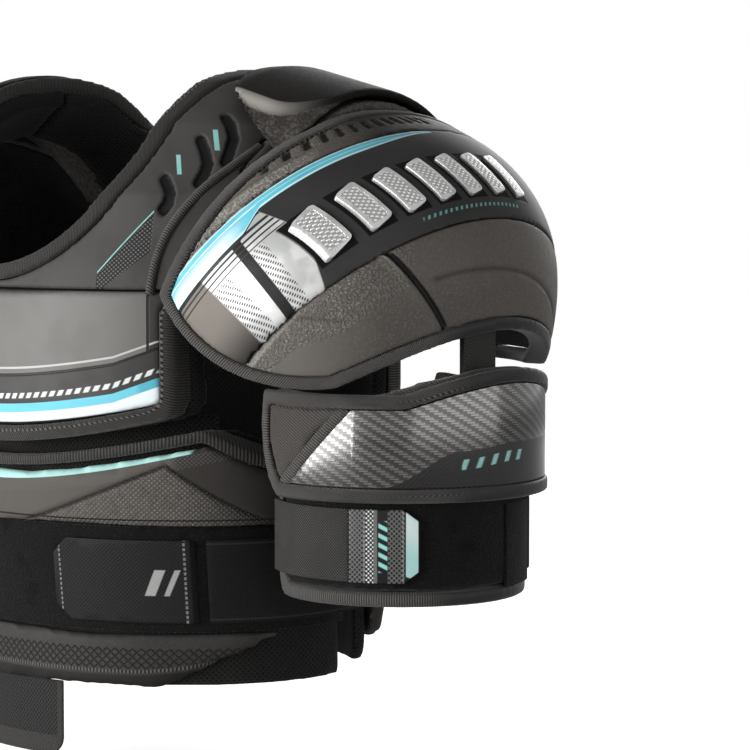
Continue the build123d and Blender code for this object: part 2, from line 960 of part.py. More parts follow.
@lru_cache(maxsize=None)
def wrap(inset):
    """The arm wrap's outline seen from the front, open towards the torso."""
    with BuildPart() as prism:
        with BuildSketch(Plane.XZ):
            with BuildLine():
                Polyline(
                    (arm_x - wrap_medial + inset, wrap_top),
                    (reach, wrap_top),
                    (reach, wrap_hem + inset),
                    (arm_x - wrap_medial + inset, wrap_hem + inset),
                    close=True,
                )
            make_face()
            fillet(vertices().group_by(Axis.Y)[0].sort_by(Axis.X)[0], radius=chest_corner_radius)
        extrude(amount=reach, both=True)
    return prism.part


with BuildPart() as arm_wrap:
    add(common(arm_ring(arm_radius, wrap_outer, wrap_hem, wrap_top), wrap(rim_width + seam)))
save_pair("arm_wrap", arm_wrap.part)

with BuildPart() as arm_wrap_binding:
    add(cut(common(arm_ring(arm_radius, wrap_outer, wrap_hem, wrap_top), wrap(0)), wrap(rim_width)))
save_pair("arm_wrap_binding", arm_wrap_binding.part)

arm_strap_foot = arm_strap_top - arm_strap_width


def strap_outline(inner):
    """The loop that a strap makes round the wrap and straight across its open side."""
    with BuildPart() as loop:
        with BuildSketch(Plane.XY.offset(arm_strap_foot)):
            with BuildLine():
                outer_turn = math.degrees(math.acos(wrap_medial / wrap_outer))
                CenterArc((arm_x, arm_y), wrap_outer + inner, outer_turn - 180, 360 - 2 * outer_turn)
                CenterArc((arm_x, arm_y), arm_radius + inner, 180 - 0.6 * outer_turn, 1.2 * outer_turn)
            make_hull()
        extrude(amount=arm_strap_width)
    return loop.part


with BuildPart() as arm_elastic:
    add(
        cut(
            strap_outline(gap + arm_strap_thickness),
            strap_outline(gap),
            arm_sector(-arm_tab_start, arm_strap_start),
        )
    )
save_pair("arm_elastic", arm_elastic.part)

seam_angle = math.degrees(seam / wrap_outer)
with BuildPart() as arm_wrap_patch:
    add(
        common(
            arm_ring(wrap_outer + gap, wrap_outer + gap + label_thickness, wrap_hem + rim_width, arm_strap_top),
            arm_sector(arm_strap_start - 28, arm_strap_start - seam_angle),
        )
    )
save_pair("arm_wrap_patch", arm_wrap_patch.part)

with BuildPart() as arm_tab:
    add(
        common(
            arm_ring(wrap_outer + gap, wrap_outer + gap + arm_tab_thickness, arm_strap_foot, arm_strap_top),
            arm_sector(seam_angle - arm_tab_start, -arm_tab_end),
        )
    )
save_pair("arm_tab", arm_tab.part)

with BuildPart() as arm_webbing:
    add(
        common(
            arm_ring(webbing_inner, webbing_outer, webbing_foot, webbing_head),
            arm_sector(-webbing_half_angle, webbing_half_angle),
        )
    )
save_pair("arm_webbing", arm_webbing.part)
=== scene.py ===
import json
import math
from contextlib import contextmanager

import bmesh
import bpy
import numpy as np
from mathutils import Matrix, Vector

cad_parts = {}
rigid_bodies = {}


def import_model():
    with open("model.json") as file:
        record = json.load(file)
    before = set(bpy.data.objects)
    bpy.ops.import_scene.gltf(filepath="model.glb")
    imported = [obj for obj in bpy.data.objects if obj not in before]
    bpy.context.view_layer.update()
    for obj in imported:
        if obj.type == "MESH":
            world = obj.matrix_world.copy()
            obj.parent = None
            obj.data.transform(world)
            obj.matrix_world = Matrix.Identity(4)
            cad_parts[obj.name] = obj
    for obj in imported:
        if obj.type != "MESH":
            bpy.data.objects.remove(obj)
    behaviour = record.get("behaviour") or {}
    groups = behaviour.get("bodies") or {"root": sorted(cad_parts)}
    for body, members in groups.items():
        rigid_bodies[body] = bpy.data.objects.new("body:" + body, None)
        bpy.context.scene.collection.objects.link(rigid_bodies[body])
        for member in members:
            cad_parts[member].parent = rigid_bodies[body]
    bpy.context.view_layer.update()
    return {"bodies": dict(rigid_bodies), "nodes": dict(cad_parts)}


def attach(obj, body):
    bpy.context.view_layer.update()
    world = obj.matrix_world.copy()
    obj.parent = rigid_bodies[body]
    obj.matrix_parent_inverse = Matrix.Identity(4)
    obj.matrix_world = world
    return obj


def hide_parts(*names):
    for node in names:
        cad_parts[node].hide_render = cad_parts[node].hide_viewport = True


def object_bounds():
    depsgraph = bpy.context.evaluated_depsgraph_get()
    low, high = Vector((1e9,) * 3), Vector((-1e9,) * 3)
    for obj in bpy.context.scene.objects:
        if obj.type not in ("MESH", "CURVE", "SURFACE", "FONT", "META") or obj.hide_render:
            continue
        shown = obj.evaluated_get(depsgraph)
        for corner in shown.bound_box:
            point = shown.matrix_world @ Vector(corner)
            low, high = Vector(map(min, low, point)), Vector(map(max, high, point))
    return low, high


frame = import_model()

# ------------------------ camera, light and floor
# A pair of adult hockey shoulder pads is shown as it sits on the wearer, over a plain pale floor,
# in soft studio light. The camera looks at the wearer's left shoulder from in front and from the side.
bpy.context.scene.view_settings.view_transform = "Standard"
look_at = Vector((0.1942, -0.0052, -0.145))


def from_look_at(turn, rise, distance):
    """The place and facing of what looks at the shoulder from a turn off -Y and a rise, in degrees."""
    turn, rise = math.radians(turn), math.radians(rise)
    away = Vector((math.sin(turn) * math.cos(rise), -math.cos(turn) * math.cos(rise), math.sin(rise)))
    return {"location": look_at + distance * away, "rotation": away.to_track_quat("Z", "Y").to_euler()}


def plug(tree, value, into):
    """Links a socket into a node's input, or sets the input to a number or colour. None leaves it alone."""
    value = getattr(value, "socket", value)
    if isinstance(value, bpy.types.NodeSocket):
        tree.links.new(value, into)
    elif value is not None:
        into.default_value = value


def new_node(tree, kind, *inputs, **settings):
    """A new node of a tree, with its inputs plugged in their order."""
    made = tree.nodes.new("ShaderNode" + kind)
    for setting, value in settings.items():
        setattr(made, setting, value)
    for index, value in enumerate(inputs):
        plug(tree, value, made.inputs[index])
    return made


bpy.ops.object.camera_add(**from_look_at(45, 4, 1.609))
camera = bpy.context.object
camera.data.lens = 136.8
bpy.context.scene.camera = camera

# A wide soft box stands in front, a smaller one at the wearer's side, and a weak one behind.
for name, turn, rise, distance, width, height, power in (
    ("front_lamp", -20, 0, 2.0, 1.9, 0.9, 62),
    ("side_lamp", 88, -2, 2.2, 3.4, 1.5, 30),
    ("rear_lamp", -150, 20, 2.2, 1.4, 1.0, 14),
):
    bpy.ops.object.light_add(type="AREA", **from_look_at(turn, rise, distance))
    lamp = bpy.context.object
    lamp.name = name
    lamp.data.shape = "RECTANGLE"
    lamp.data.size = width
    lamp.data.size_y = height
    lamp.data.energy = power

# The surroundings are white where they are seen or mirrored, and dim as a source of light.
world = bpy.data.worlds.new("studio")
bpy.context.scene.world = world
world.use_nodes = True
sky = world.node_tree
seen = new_node(sky, "LightPath").outputs
mirrored = new_node(sky, "Math", seen["Is Glossy Ray"], seen["Is Transmission Ray"], operation="MAXIMUM").outputs[0]
white = new_node(sky, "Math", mirrored, seen["Is Camera Ray"], operation="MAXIMUM").outputs[0]
level = new_node(sky, "MapRange", white, 0, 1, 0.12, 1).outputs[0]
plug(sky, level, sky.nodes["Background"].inputs["Strength"])
sky.nodes["Background"].inputs["Color"].default_value = (1, 1, 1, 1)

floor_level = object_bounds()[0][2] - 0.012
bpy.ops.mesh.primitive_plane_add(size=30, location=(0, 0, floor_level))
floor = bpy.context.object
floor.name = "floor"
pale = bpy.data.materials.new("pale_floor")
pale.use_nodes = True
shader = pale.node_tree.nodes["Principled BSDF"]
shader.inputs["Base Color"].default_value = (0.9, 0.9, 0.9, 1)
shader.inputs["Roughness"].default_value = 0.9
shader.inputs["Emission Color"].default_value = (1, 1, 1, 1)
floor_seen = new_node(pale.node_tree, "LightPath").outputs["Is Camera Ray"]
lit = new_node(pale.node_tree, "Math", floor_seen, 0.82, operation="MULTIPLY").outputs[0]
plug(pale.node_tree, lit, shader.inputs["Emission Strength"])
floor.data.materials.append(pale)


# ------------------------ mesh liners of the chest and back
# The inside of the pads is black spacer mesh over thin foam, sewn to every panel around its edge.
# The back liner has a tail that runs down to the waist, which the waist straps are sewn to.
@contextmanager
def reshaped(piece):
    """Opens a piece's mesh for editing, and writes it back afterwards."""
    shape = bmesh.new()
    shape.from_mesh(piece.data)
    yield shape
    shape.to_mesh(piece.data)
    shape.free()


def copied(name, mesh):
    """A new piece with a copy of a mesh."""
    piece = bpy.data.objects.new(name, mesh.copy())
    bpy.context.scene.collection.objects.link(piece)
    return piece


def taken(name, node_name):
    """A merged copy of a CAD node's mesh, as a new piece."""
    piece = copied(name, frame["nodes"][node_name].data)
    with reshaped(piece) as shape:
        bmesh.ops.remove_doubles(shape, verts=shape.verts, dist=2e-5)
    for layer in list(piece.data.uv_layers):
        piece.data.uv_layers.remove(layer)
    return piece


def alone(piece):
    """Selects one piece and nothing else."""
    bpy.ops.object.select_all(action="DESELECT")
    bpy.context.view_layer.objects.active = piece
    piece.select_set(True)


def applied(piece, kind, **settings):
    """Puts one modifier on a piece and applies it."""
    alone(piece)
    modifier = piece.modifiers.new(kind.lower(), kind)
    for setting, value in settings.items():
        setattr(modifier, setting, value)
    bpy.ops.object.modifier_apply(modifier=modifier.name)
    return piece


def rounded(piece, voxel, passes=6):
    """Remeshes a thick soft piece evenly and rounds its edges."""
    applied(piece, "REMESH", mode="VOXEL", voxel_size=voxel)
    applied(piece, "SMOOTH", factor=0.5, iterations=passes)
    bpy.ops.object.shade_smooth()
    return piece


def listed(vectors, field):
    """A mesh's vectors as an array."""
    flat = np.empty(3 * len(vectors), np.float32)
    vectors.foreach_get(field, flat)
    return flat.reshape(-1, 3).astype(float)


def points(piece):
    """A piece's vertices, in metres."""
    return listed(piece.data.vertices, "co")


def normals(piece):
    """The outward directions of a piece's vertices."""
    return listed(piece.data.vertex_normals, "vector")


def noted(piece, name, kind, field, values):
    """Stores one value or vector per vertex under a name, for materials to read."""
    note = piece.data.attributes.get(name) or piece.data.attributes.new(name, kind, "POINT")
    note.data.foreach_set(field, values.astype(np.float32).ravel())


def moved(piece, place):
    """Puts a piece's vertices at new places."""
    piece.data.vertices.foreach_set("co", place.astype(np.float32).ravel())
    piece.data.update()
    return piece


def laid(piece, along, across):
    """Stores how far each vertex lies along and across the cloth, in metres, for the weave to follow."""
    noted(piece, "lay", "FLOAT_VECTOR", "vector", np.column_stack((along, across, 0 * along)))
    return piece


trunk = "chest_and_back"
trunk_axis, arm_axis = (0, 0), (0.206, 0.004)


def laid_round(piece, axis, radius, away=0):
    """Lays the cloth round an upright axis. The join lies in the direction of away, in degrees from -Y."""
    place = points(piece)
    angle = np.arctan2(place[:, 0] - axis[0], -(place[:, 1] - axis[1])) - math.radians(away)
    return laid(piece, np.mod(angle, 2 * math.pi) * radius, place[:, 2])


def smooth_step(value, low, high):
    """From 0 to 1 as a value goes from low to high, in numbers rather than in nodes."""
    share = np.clip((value - low) / (high - low), 0, 1)
    return share * share * (3 - 2 * share)


def bell(distance, width):
    """1 on a line, falling smoothly to 0 at a width from it."""
    return smooth_step(np.abs(distance), width, 0)


def pressed(piece, depth):
    """Presses a piece in along its normals by a depth in mm, and keeps the depth for its material to darken."""
    place, facing = points(piece), normals(piece)
    deep = depth(1000 * place, facing)
    noted(piece, "dip", "FLOAT", "value", deep)
    return moved(piece, place - 0.001 * facing * deep[:, None])


class Value:
    """A number that a material's nodes work out. It takes part in sums with other values and plain numbers."""

    def __init__(self, finish, socket):
        self.finish, self.socket = finish, socket

    def __abs__(self):
        return self.finish.sum("ABSOLUTE", self)

    def at_least(self, other):
        return self.finish.sum("MAXIMUM", self, other)

    def ramp(self, low, high, start=0, end=1):
        """From start to end as the value goes from low to high, and level outside them."""
        return self.finish.value("MapRange", self, low, high, start, end, interpolation_type="SMOOTHSTEP")

    def within(self, low, high, soft=0.2):
        """1 where the value is between low and high, with soft edges."""
        return self.ramp(low - soft, low + soft) * self.ramp(high - soft, high + soft, 1, 0)

    def ribs(self, pitch):
        """A row of round ribs, from 0 to 1."""
        return 0.5 * self.finish.sum("SINE", self * (2 * math.pi / pitch)) + 0.5

    def dashes(self, pitch, share, soft=0.08):
        """1 over a share of each pitch, as stitches are."""
        return self.finish.sum("FRACT", self / pitch).within(0.5 - share / 2, 0.5 + share / 2, soft)


# The signs that join two values. The last one, |, is the larger of the two and joins masks.
for sign, operation in (("add", "ADD"), ("sub", "SUBTRACT"), ("mul", "MULTIPLY"), ("truediv", "DIVIDE"),
                        ("mod", "FLOORED_MODULO"), ("pow", "POWER"), ("or", "MAXIMUM")):
    setattr(Value, f"__{sign}__", lambda self, other, does=operation: self.finish.sum(does, self, other))
    setattr(Value, f"__r{sign}__", lambda self, other, does=operation: self.finish.sum(does, other, self))


class Finish:
    """A material whose colour, roughness, metal share and relief are built up in layers. Relief is in mm."""

    def __init__(self, name, colour, roughness, metal=0.0, specular=0.5, **sockets):
        self.material = bpy.data.materials.new(name)
        self.material.use_nodes = True
        self.tree = self.material.node_tree
        self.shader = self.tree.nodes["Principled BSDF"]
        self.shader.inputs["Specular IOR Level"].default_value = specular
        for socket, value in sockets.items():
            self.shader.inputs[socket.replace("_", " ")].default_value = value
        self.layers = {"Base Color": self.colour(colour), "Roughness": roughness, "Metallic": metal}
        self.height = None
        self.place = new_node(self.tree, "TexCoord").outputs["Object"]
        x, self.y, self.z = self.in_mm(self.place)
        self.x = abs(x)
        self.u, self.v, _ = self.in_mm(new_node(self.tree, "Attribute", attribute_name="lay").outputs["Vector"])

    def value(self, kind, *inputs, output=0, **settings):
        return Value(self, new_node(self.tree, kind, *inputs, **settings).outputs[output])

    def sum(self, operation, *values):
        return self.value("Math", *values, operation=operation)

    def arctan2(self, side, front):
        return self.sum("ARCTAN2", side, front)

    def in_mm(self, vector):
        """The three parts of a place, in millimetres."""
        return [Value(self, part) * 1000 for part in new_node(self.tree, "SeparateXYZ", vector).outputs]

    @staticmethod
    def colour(parts):
        """A colour with its alpha. One number stands for a grey."""
        return (*(parts if isinstance(parts, tuple) else (parts,) * 3), 1)

    def noise(self, size, detail=3):
        """Even grain of a size in millimetres, from 0 to 1."""
        return self.value("TexNoise", self.place, None, 1000 / size, detail, noise_dimensions="3D")

    def dots(self, u, v, pitch, radius, soft=0.1):
        """Round dots in staggered rows, 1 inside. The radius is a share of the pitch."""
        place = new_node(self.tree, "CombineXYZ", u, v, 0.0).outputs[0]
        turned = new_node(self.tree, "Mapping", place, None, (0, 0, math.radians(45)), (1 / pitch,) * 3).outputs[0]
        field = new_node(self.tree, "TexVoronoi", turned, None, 1, voronoi_dimensions="2D")
        field.inputs["Randomness"].default_value = 0
        return Value(self, field.outputs["Distance"]).ramp(radius - soft, radius + soft, 1, 0)

    def blend(self, socket, mask, value):
        """Lays one more value or colour over a socket's last layer."""
        kind, gap, output = ("RGBA", 5, 2) if socket == "Base Color" else ("FLOAT", 1, 0)
        mix = new_node(self.tree, "Mix", mask, *[None] * gap, self.layers[socket], value, data_type=kind)
        self.layers[socket] = mix.outputs[output]
        return self

    def paint(self, mask, colour):
        return self.blend("Base Color", mask, self.colour(colour))

    def polish(self, mask, roughness):
        return self.blend("Roughness", mask, roughness)

    def plate(self, mask, metal):
        return self.blend("Metallic", mask, metal)

    def lift(self, mask, millimetres):
        step = mask * millimetres
        self.height = step if self.height is None else self.height + step
        return self

    def shaded_dips(self, colour, deep=1.2):
        """Dust and shade gather where the piece is pressed in."""
        dip = self.value("Attribute", output="Fac", attribute_name="dip")
        return self.paint(dip.ramp(0.15, deep), colour)

    def done(self):
        for socket, value in self.layers.items():
            plug(self.tree, value, self.shader.inputs[socket])
        if self.height is not None:
            bump = new_node(self.tree, "Bump")
            for socket, value in (("Distance", 0.001), ("Strength", 1), ("Height", self.height)):
                plug(self.tree, value, bump.inputs[socket])
            plug(self.tree, bump.outputs["Normal"], self.shader.inputs["Normal"])
        return self.material


def sewn(piece, material, body, slot, *nodes, fill=None):
    """Gives a finished piece its material and body, and hides the CAD nodes that it stands for. The slot is not used.
    """
    piece.data.materials.clear()
    piece.data.materials.append(material)
    piece.data.polygons.foreach_set("material_index", [0] * len(piece.data.polygons))
    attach(piece, body)
    if nodes:
        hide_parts(*nodes)


def sewn_on_both(piece, material, body, slot, *nodes, fill=None):
    """Fixes a left piece, and its mirror image on the right. Body and nodes are named without their side."""
    other = copied(piece.name.replace("left_", "right_"), piece.data)
    with reshaped(other) as shape:
        bmesh.ops.scale(shape, vec=(-1, 1, 1), verts=shape.verts)
        bmesh.ops.reverse_faces(shape, faces=shape.faces)
    for side, half in (("left_", piece), ("right_", other)):
        where = body if body in frame["bodies"] else side + body
        sewn(half, material, where, slot, *[side + name for name in nodes], fill=fill)


spacer = Finish("spacer_mesh", (0.013, 0.0125, 0.012), 0.85, specular=0.08, Sheen_Weight=0.06)
holes = spacer.dots(spacer.u, spacer.v, 2.3, 0.27)
spacer.lift(holes, -0.5).paint(holes, 0.004)
spacer.paint(spacer.noise(45).ramp(0.4, 0.7) * (1 - holes), (0.018, 0.017, 0.016)).lift(spacer.noise(0.5), 0.12)
spacer_mesh = spacer.done()

for node in ("chest_liner", "back_liner"):
    lining = rounded(taken(node.replace("liner", "lining"), node), 0.003)
    laid_round(lining, trunk_axis, 0.135, 180 if node == "chest_liner" else 0)
    sewn(lining, spacer_mesh, trunk, "liner_mesh", node)


# ------------------------ ribbed bindings
# Every sewn edge is wrapped in a black grosgrain tape with cross ribs, held by a line of lock stitches.
# The tape runs round the neck, chest, back, shoulder caps, arm guards and arm wraps.
def traced(piece, centre, axis, start, bins=240):
    """Lays a tape along its own edge: measured round an axis through centre, from the start direction."""
    axis = Vector(axis).normalized()
    start = Vector(start)
    start = np.array((start - axis * start.dot(axis)).normalized())
    side = np.cross(np.array(axis), start)
    place = points(piece) - np.array(centre)
    flat = np.column_stack((place @ start, place @ side))
    angle = np.mod(np.arctan2(flat[:, 1], flat[:, 0]), 2 * math.pi)
    index = np.minimum((angle / (2 * math.pi) * bins).astype(int), bins - 1)
    count = np.bincount(index, minlength=bins)
    used = np.nonzero(count)[0]
    line = np.column_stack([np.bincount(index, place[:, k], bins)[used] / count[used] for k in range(3)])
    for _ in range(3):
        line[1:-1] = 0.25 * line[:-2] + 0.5 * line[1:-1] + 0.25 * line[2:]
    step = np.linalg.norm(np.diff(line, axis=0), axis=1)
    length = np.concatenate(([0], np.cumsum(step)))
    middle = (used + 0.5) / bins * 2 * math.pi
    along = np.interp(angle, middle, length)
    centreline = np.column_stack([np.interp(angle, middle, line[:, k]) for k in range(3)])
    reach = np.hypot(flat[:, 0], flat[:, 1]) - np.hypot(centreline @ start, centreline @ side)
    return laid(piece, along, reach)


def tape_finish(name, pitch, smooth_rear=False, tone=1.0):
    """Grosgrain tape. On the caps and guards its rear half is a smooth rubbery lip."""
    tape = Finish(name, (0.115 * tone, 0.108 * tone, 0.1 * tone), 0.6, specular=0.12, Sheen_Weight=0.15)
    valleys = 1 - tape.u.ribs(pitch)
    tape.paint(valleys, (0.012, 0.0115, 0.011))
    stitched = tape.v.within(-2.6, -1.2, 0.25)
    stitches = stitched * tape.u.dashes(3.4, 0.5)
    tape.paint(stitched, 0.005).paint(stitches, (0.14, 0.132, 0.122))
    tape.paint(tape.noise(14).ramp(0.5, 0.75) * (1 - stitched), (0.075 * tone, 0.07 * tone, 0.065 * tone))
    relief = 0.3 * stitches - 0.3 * valleys
    if smooth_rear:
        rear = tape.y.ramp(-42, -18)
        tape.paint(rear, (0.02, 0.0195, 0.0195)).polish(rear, 0.42)
        relief = relief * (1 - rear)
    tape.lift(relief, 1).lift(tape.noise(0.4), 0.04)
    return tape.done()


binding = tape_finish("ribbed_binding", 1.5)
rear_lip_binding = tape_finish("ribbed_binding_with_lip", 1.4, smooth_rear=True)
for name, node, voxel, tape, body, centre, axis, start, bins in (
    ("neck_piping", "neck_collar", 0.0016, tape_finish("collar_binding", 1.2, tone=0.4), trunk,
     (0, 0, -0.03), (0, 0, 1), (0, 1, 0), 400),
    ("chest_edging", "chest_binding", 0.0016, tape_finish("chest_tape", 1.5, tone=0.55), trunk,
     (0, -0.05, -0.1), (0, 1, 0), (0, 0, 1), 400),
    ("back_edging", "back_binding", 0.0016, binding, trunk,
     (0, 0.05, -0.1), (0, 1, 0), (0, 0, 1), 400),
    ("left_cap_edging", "cap_binding", 0.0013, rear_lip_binding, "shoulder_cap",
     (0.2, 0.005, -0.09), (0.76, 0, 0.65), (-1, 0.4, 0.5), 400),
    ("left_guard_edging", "bicep_binding", 0.0013, rear_lip_binding, "arm_guard",
     (0.262, 0.004, -0.18), (1, -0.1, 0), (0, 1, 0), 300),
):
    one_of_two = name.startswith("left_")
    edging = rounded(taken(name, "left_" + node if one_of_two else node), voxel, 8)
    if name == "chest_edging":
        # The lower corners of the chest are drawn in towards the plate.
        place = points(edging)
        outer = np.clip(np.abs(place[:, 0]) - 0.118, 0, None) * smooth_step(place[:, 2], -0.04, -0.06)
        place[:, 0] -= 0.45 * np.sign(place[:, 0]) * outer
        moved(edging, place)
    traced(edging, centre, axis, start, bins)
    if one_of_two:
        sewn_on_both(edging, tape, body, "ribbed_binding", node)
    else:
        sewn(edging, tape, body, "ribbed_binding", node)
edging = laid_round(rounded(taken("left_wrap_edging", "left_arm_wrap_binding"), 0.0016, 8), arm_axis, 0.07, 270)
sewn_on_both(edging, rear_lip_binding, "arm_guard", "ribbed_binding", "arm_wrap_binding")
edging = rounded(taken("left_rib_edging", "left_rib_piping"), 0.0016, 8)
moved(edging, points(edging) - 0.0009 * normals(edging) + np.array((0, 0, 0.0012)))
laid_round(edging, trunk_axis, 0.135, 180)
sewn_on_both(edging, tape_finish("corded_piping", 1.9, tone=0.5), "belly_panels", "ribbed_binding", "rib_piping")


# ------------------------ shoulder caps
# Each cap is a moulded dome of dense foam skinned with film, in four panels over a mesh liner: a soft
# top panel, a printed panel with raised silver bars, and two grained panels below with a slit between.
def eased(piece, width=0.0006, segments=2):
    """Rounds the cut edges of a hard or flat piece."""
    applied(piece, "BEVEL", width=width, segments=segments, limit_method="ANGLE", angle_limit=math.radians(40))
    bpy.ops.object.shade_smooth_by_angle(angle=math.radians(35))
    return piece


liner = laid_round(rounded(taken("left_cap_lining", "left_cap_liner"), 0.0022), (0.13, 0.01), 0.13, 270)
sewn_on_both(liner, spacer_mesh, "shoulder_cap", "liner_mesh", "cap_liner")


def cap_rows(x, y, z, arctan2=np.arctan2):
    """How far places on a cap lie below the print's upper edge, and how far forward, in mm."""
    return (abs(x) - 229.5 - 0.95 * z) / 1.379, 125 * arctan2((10 - y) / 123, (abs(x) - 130.5) / 152)


def bar_rows(finish, below):
    """How far along the leaning row of raised bars a place is, and how far from the nearest bar's middle."""
    lean = finish.y + 0.325 * (42 - below)
    return lean, abs((lean + 32.5) % 19 - 9.5)


def foam_finish(name, colour, roughness, grain=0.7, relief=0.08, **sockets):
    """Dense foam under a satin film, with a fine pressed grain and slightly uneven tone."""
    foam = Finish(name, colour, roughness, **sockets)
    foam.paint(foam.noise(60).ramp(0.4, 0.75), tuple(0.75 * part for part in colour))
    foam.paint(foam.noise(grain, 2).ramp(0.45, 0.75), tuple(1.3 * part for part in colour))
    foam.polish(foam.noise(3 * grain).ramp(0.35, 0.7), roughness + 0.1)
    foam.lift(foam.noise(grain, 2), relief).lift(foam.noise(0.3), 0.5 * relief)
    return foam


def top_moulding(place, facing):
    """A bevel along the print, and a row of slanted slots beside the arch pad."""
    below, forward = cap_rows(*place.T)
    outside = smooth_step(facing[:, 0] + facing[:, 2] - 0.5 * facing[:, 1], 0, 0.3)
    bevel = 1.5 * smooth_step(below, -8.5, -6.5) * smooth_step(forward, 105, 125)
    lean = np.mod(forward + 0.35 * below, 13) - 6.5
    slot = smooth_step(np.abs(lean), 3.2, 1.9) * smooth_step(np.abs(below + 14.7), 5.4, 4)
    return outside * (bevel + 1.3 * slot * smooth_step(forward, 146, 138) * smooth_step(forward, -30, -20))


panel = rounded(taken("left_cap_top", "left_cap_top_panel"), 0.0015, 5)
pressed(panel, top_moulding)
top = foam_finish("cap_foam", (0.028, 0.025, 0.022), 0.45, specular=0.04)
below, forward = cap_rows(top.x, top.y, top.z, top.arctan2)
# Painted light: the front of the top panel, where the front lamp falls, is painted lighter, and its grain lighter
# still.
painted_light_front = forward.ramp(50, 125)
leathery = top.noise(1.6, 4).ramp(0.42, 0.66)
top.paint(painted_light_front, (0.115, 0.104, 0.092)).lift(painted_light_front * leathery, 0.2)
top.paint(painted_light_front * leathery, (0.165, 0.151, 0.135))
# Painted highlight: a light band along the bevel above the print, brightest on its grain.
painted_ridge_highlight = below.within(-7.5, 0.5, 0.8) * forward.ramp(100, 135)
# Painted shade: the top panel is painted darker further above the print, where it faces up and away from the lamps.
top.paint(below.ramp(-14, -30) * (1 - painted_light_front), (0.02, 0.018, 0.016))
top.shaded_dips((0.011, 0.01, 0.009))
# Grain that is raised and also painted with bright glints, a painted highlight.
grain_and_glints = top.noise(1.3, 2).ramp(0.4, 0.62)
# Painted light: the bevel beside the print is painted lighter, over the painted shade of its dip.
painted_bevel_light = below.within(-9, 0.8, 0.8) * forward.ramp(60, 120)
top.paint(painted_bevel_light, (0.11, 0.1, 0.09)).lift(painted_ridge_highlight * grain_and_glints, 0.3)
top.paint(painted_ridge_highlight, (0.17, 0.16, 0.145)).paint(painted_ridge_highlight * grain_and_glints, (0.33, 0.315, 0.285))
sewn_on_both(panel, top.done(), "shoulder_cap", "molded_foam", "cap_top_panel", fill=0.9)

print_blue = (0.155, 0.578, 0.716)
film = Finish("printed_film", (0.046, 0.045, 0.0445), 0.42, specular=0.03)
s, a = cap_rows(film.x, film.y, film.z, film.arctan2)
film.paint(film.noise(45).ramp(0.45, 0.7), (0.036, 0.0352, 0.035))
slant = a + 0.59 * s
satin_slant = a + 0.66 * s
silver = (a + 0.96 * s).ramp(148.2, 149) * (a + 0.33 * s).ramp(126, 127)
film.paint(silver, (0.42, 0.425, 0.418)).plate(silver, 0.35).polish(silver, 0.3)
cloudy = silver * film.noise(16).ramp(0.42, 0.62)
film.paint(cloudy, (0.56, 0.565, 0.55)).polish(cloudy, 0.38)
specks = film.dots(a, s, 1.7, 0.3)
speckled = satin_slant.within(170, 178) | slant.within(150.5, 157)
film.paint(silver * specks * speckled * s.ramp(25, 27), 0.05)
film.paint(silver * slant.within(157, 161.2), 0.02)
for low, wide in ((14.5, 1.6), (18, 1.3), (21.3, 1.0), (24.5, 0.7)):
    film.paint(silver * s.within(low, low + wide, 0.15) * slant.within(138, 178, 0.3), 0.035)
satin = silver * satin_slant.ramp(177.5, 178.5)
film.paint(satin, (0.19, 0.173, 0.155)).plate(satin, 0.15).polish(satin, 0.5)
# Painted shade: the satin print is darkened towards its lower edge.
film.paint(satin * s.ramp(38, 68), (0.02, 0.019, 0.018))
for low, wide in ((10.5, 2), (14.5, 1.4), (18, 1.2), (21.3, 0.9)):
    film.paint(satin * s.within(low, low + wide, 0.15) * satin_slant.ramp(196, 192), (0.05, 0.046, 0.043))
width = a.ramp(5, 80, 1.5, 6) + (a - 0.5 * s).ramp(134.5, 139.5, 0, 6)
inner = s - 2.3
left_over = width - inner
band = inner.ramp(-0.2, 0.2) * left_over.ramp(-0.2, 0.2) * a.ramp(2, 9)
film.paint(silver * left_over.within(-2.4, 0), 0.03)
film.paint(band, print_blue).plate(band, 0).polish(band, 0.4)
film.paint(band * film.noise(30).ramp(0.4, 0.65), (0.115, 0.485, 0.61))
film.paint(band * left_over.ramp(1.4, 1), (0.58, 0.87, 0.91))
half = inner - 0.5 * width
film.paint(band * half.ramp(-4.5, 2.5) * a.ramp(143, 160) * a.ramp(192, 178), (0.85, 0.93, 0.95))
film.paint(band * half.within(-3.4, -2.8, 0.15) * a.ramp(138, 146), (0.85, 0.93, 0.95))
film.paint(s.within(1.5, 2.3, 0.12) * a.ramp(2, 9), (0.6, 0.86, 0.91))
film.paint(band * inner.within(2.1, 2.6, 0.12) * a.ramp(30, 50) * a.ramp(150, 140), (0.5, 0.82, 0.88))
ticks = s.within(62, 64) * film.y.within(-37, 33, 0.5) * (film.y + 0.4 * s).dashes(3.4, 0.4)
film.paint(ticks, (0.17, 0.38, 0.37))
lean, off_bar = bar_rows(film, s)
recess = off_bar.ramp(7.5, 6.7) * s.within(25.8, 58.2, 0.4) * lean.within(-90, 44, 0.5)
film.paint(recess, 0.008).lift(recess, -0.7).polish(recess, 0.6)
film.lift(film.noise(0.5), 0.03)
panel = rounded(taken("left_cap_print", "left_cap_print_panel"), 0.0012, 9)
moved(panel, points(panel) + 0.0003 * normals(panel))
sewn_on_both(panel, film.done(), "shoulder_cap", "printed_film", "cap_print_panel", fill=0.9)


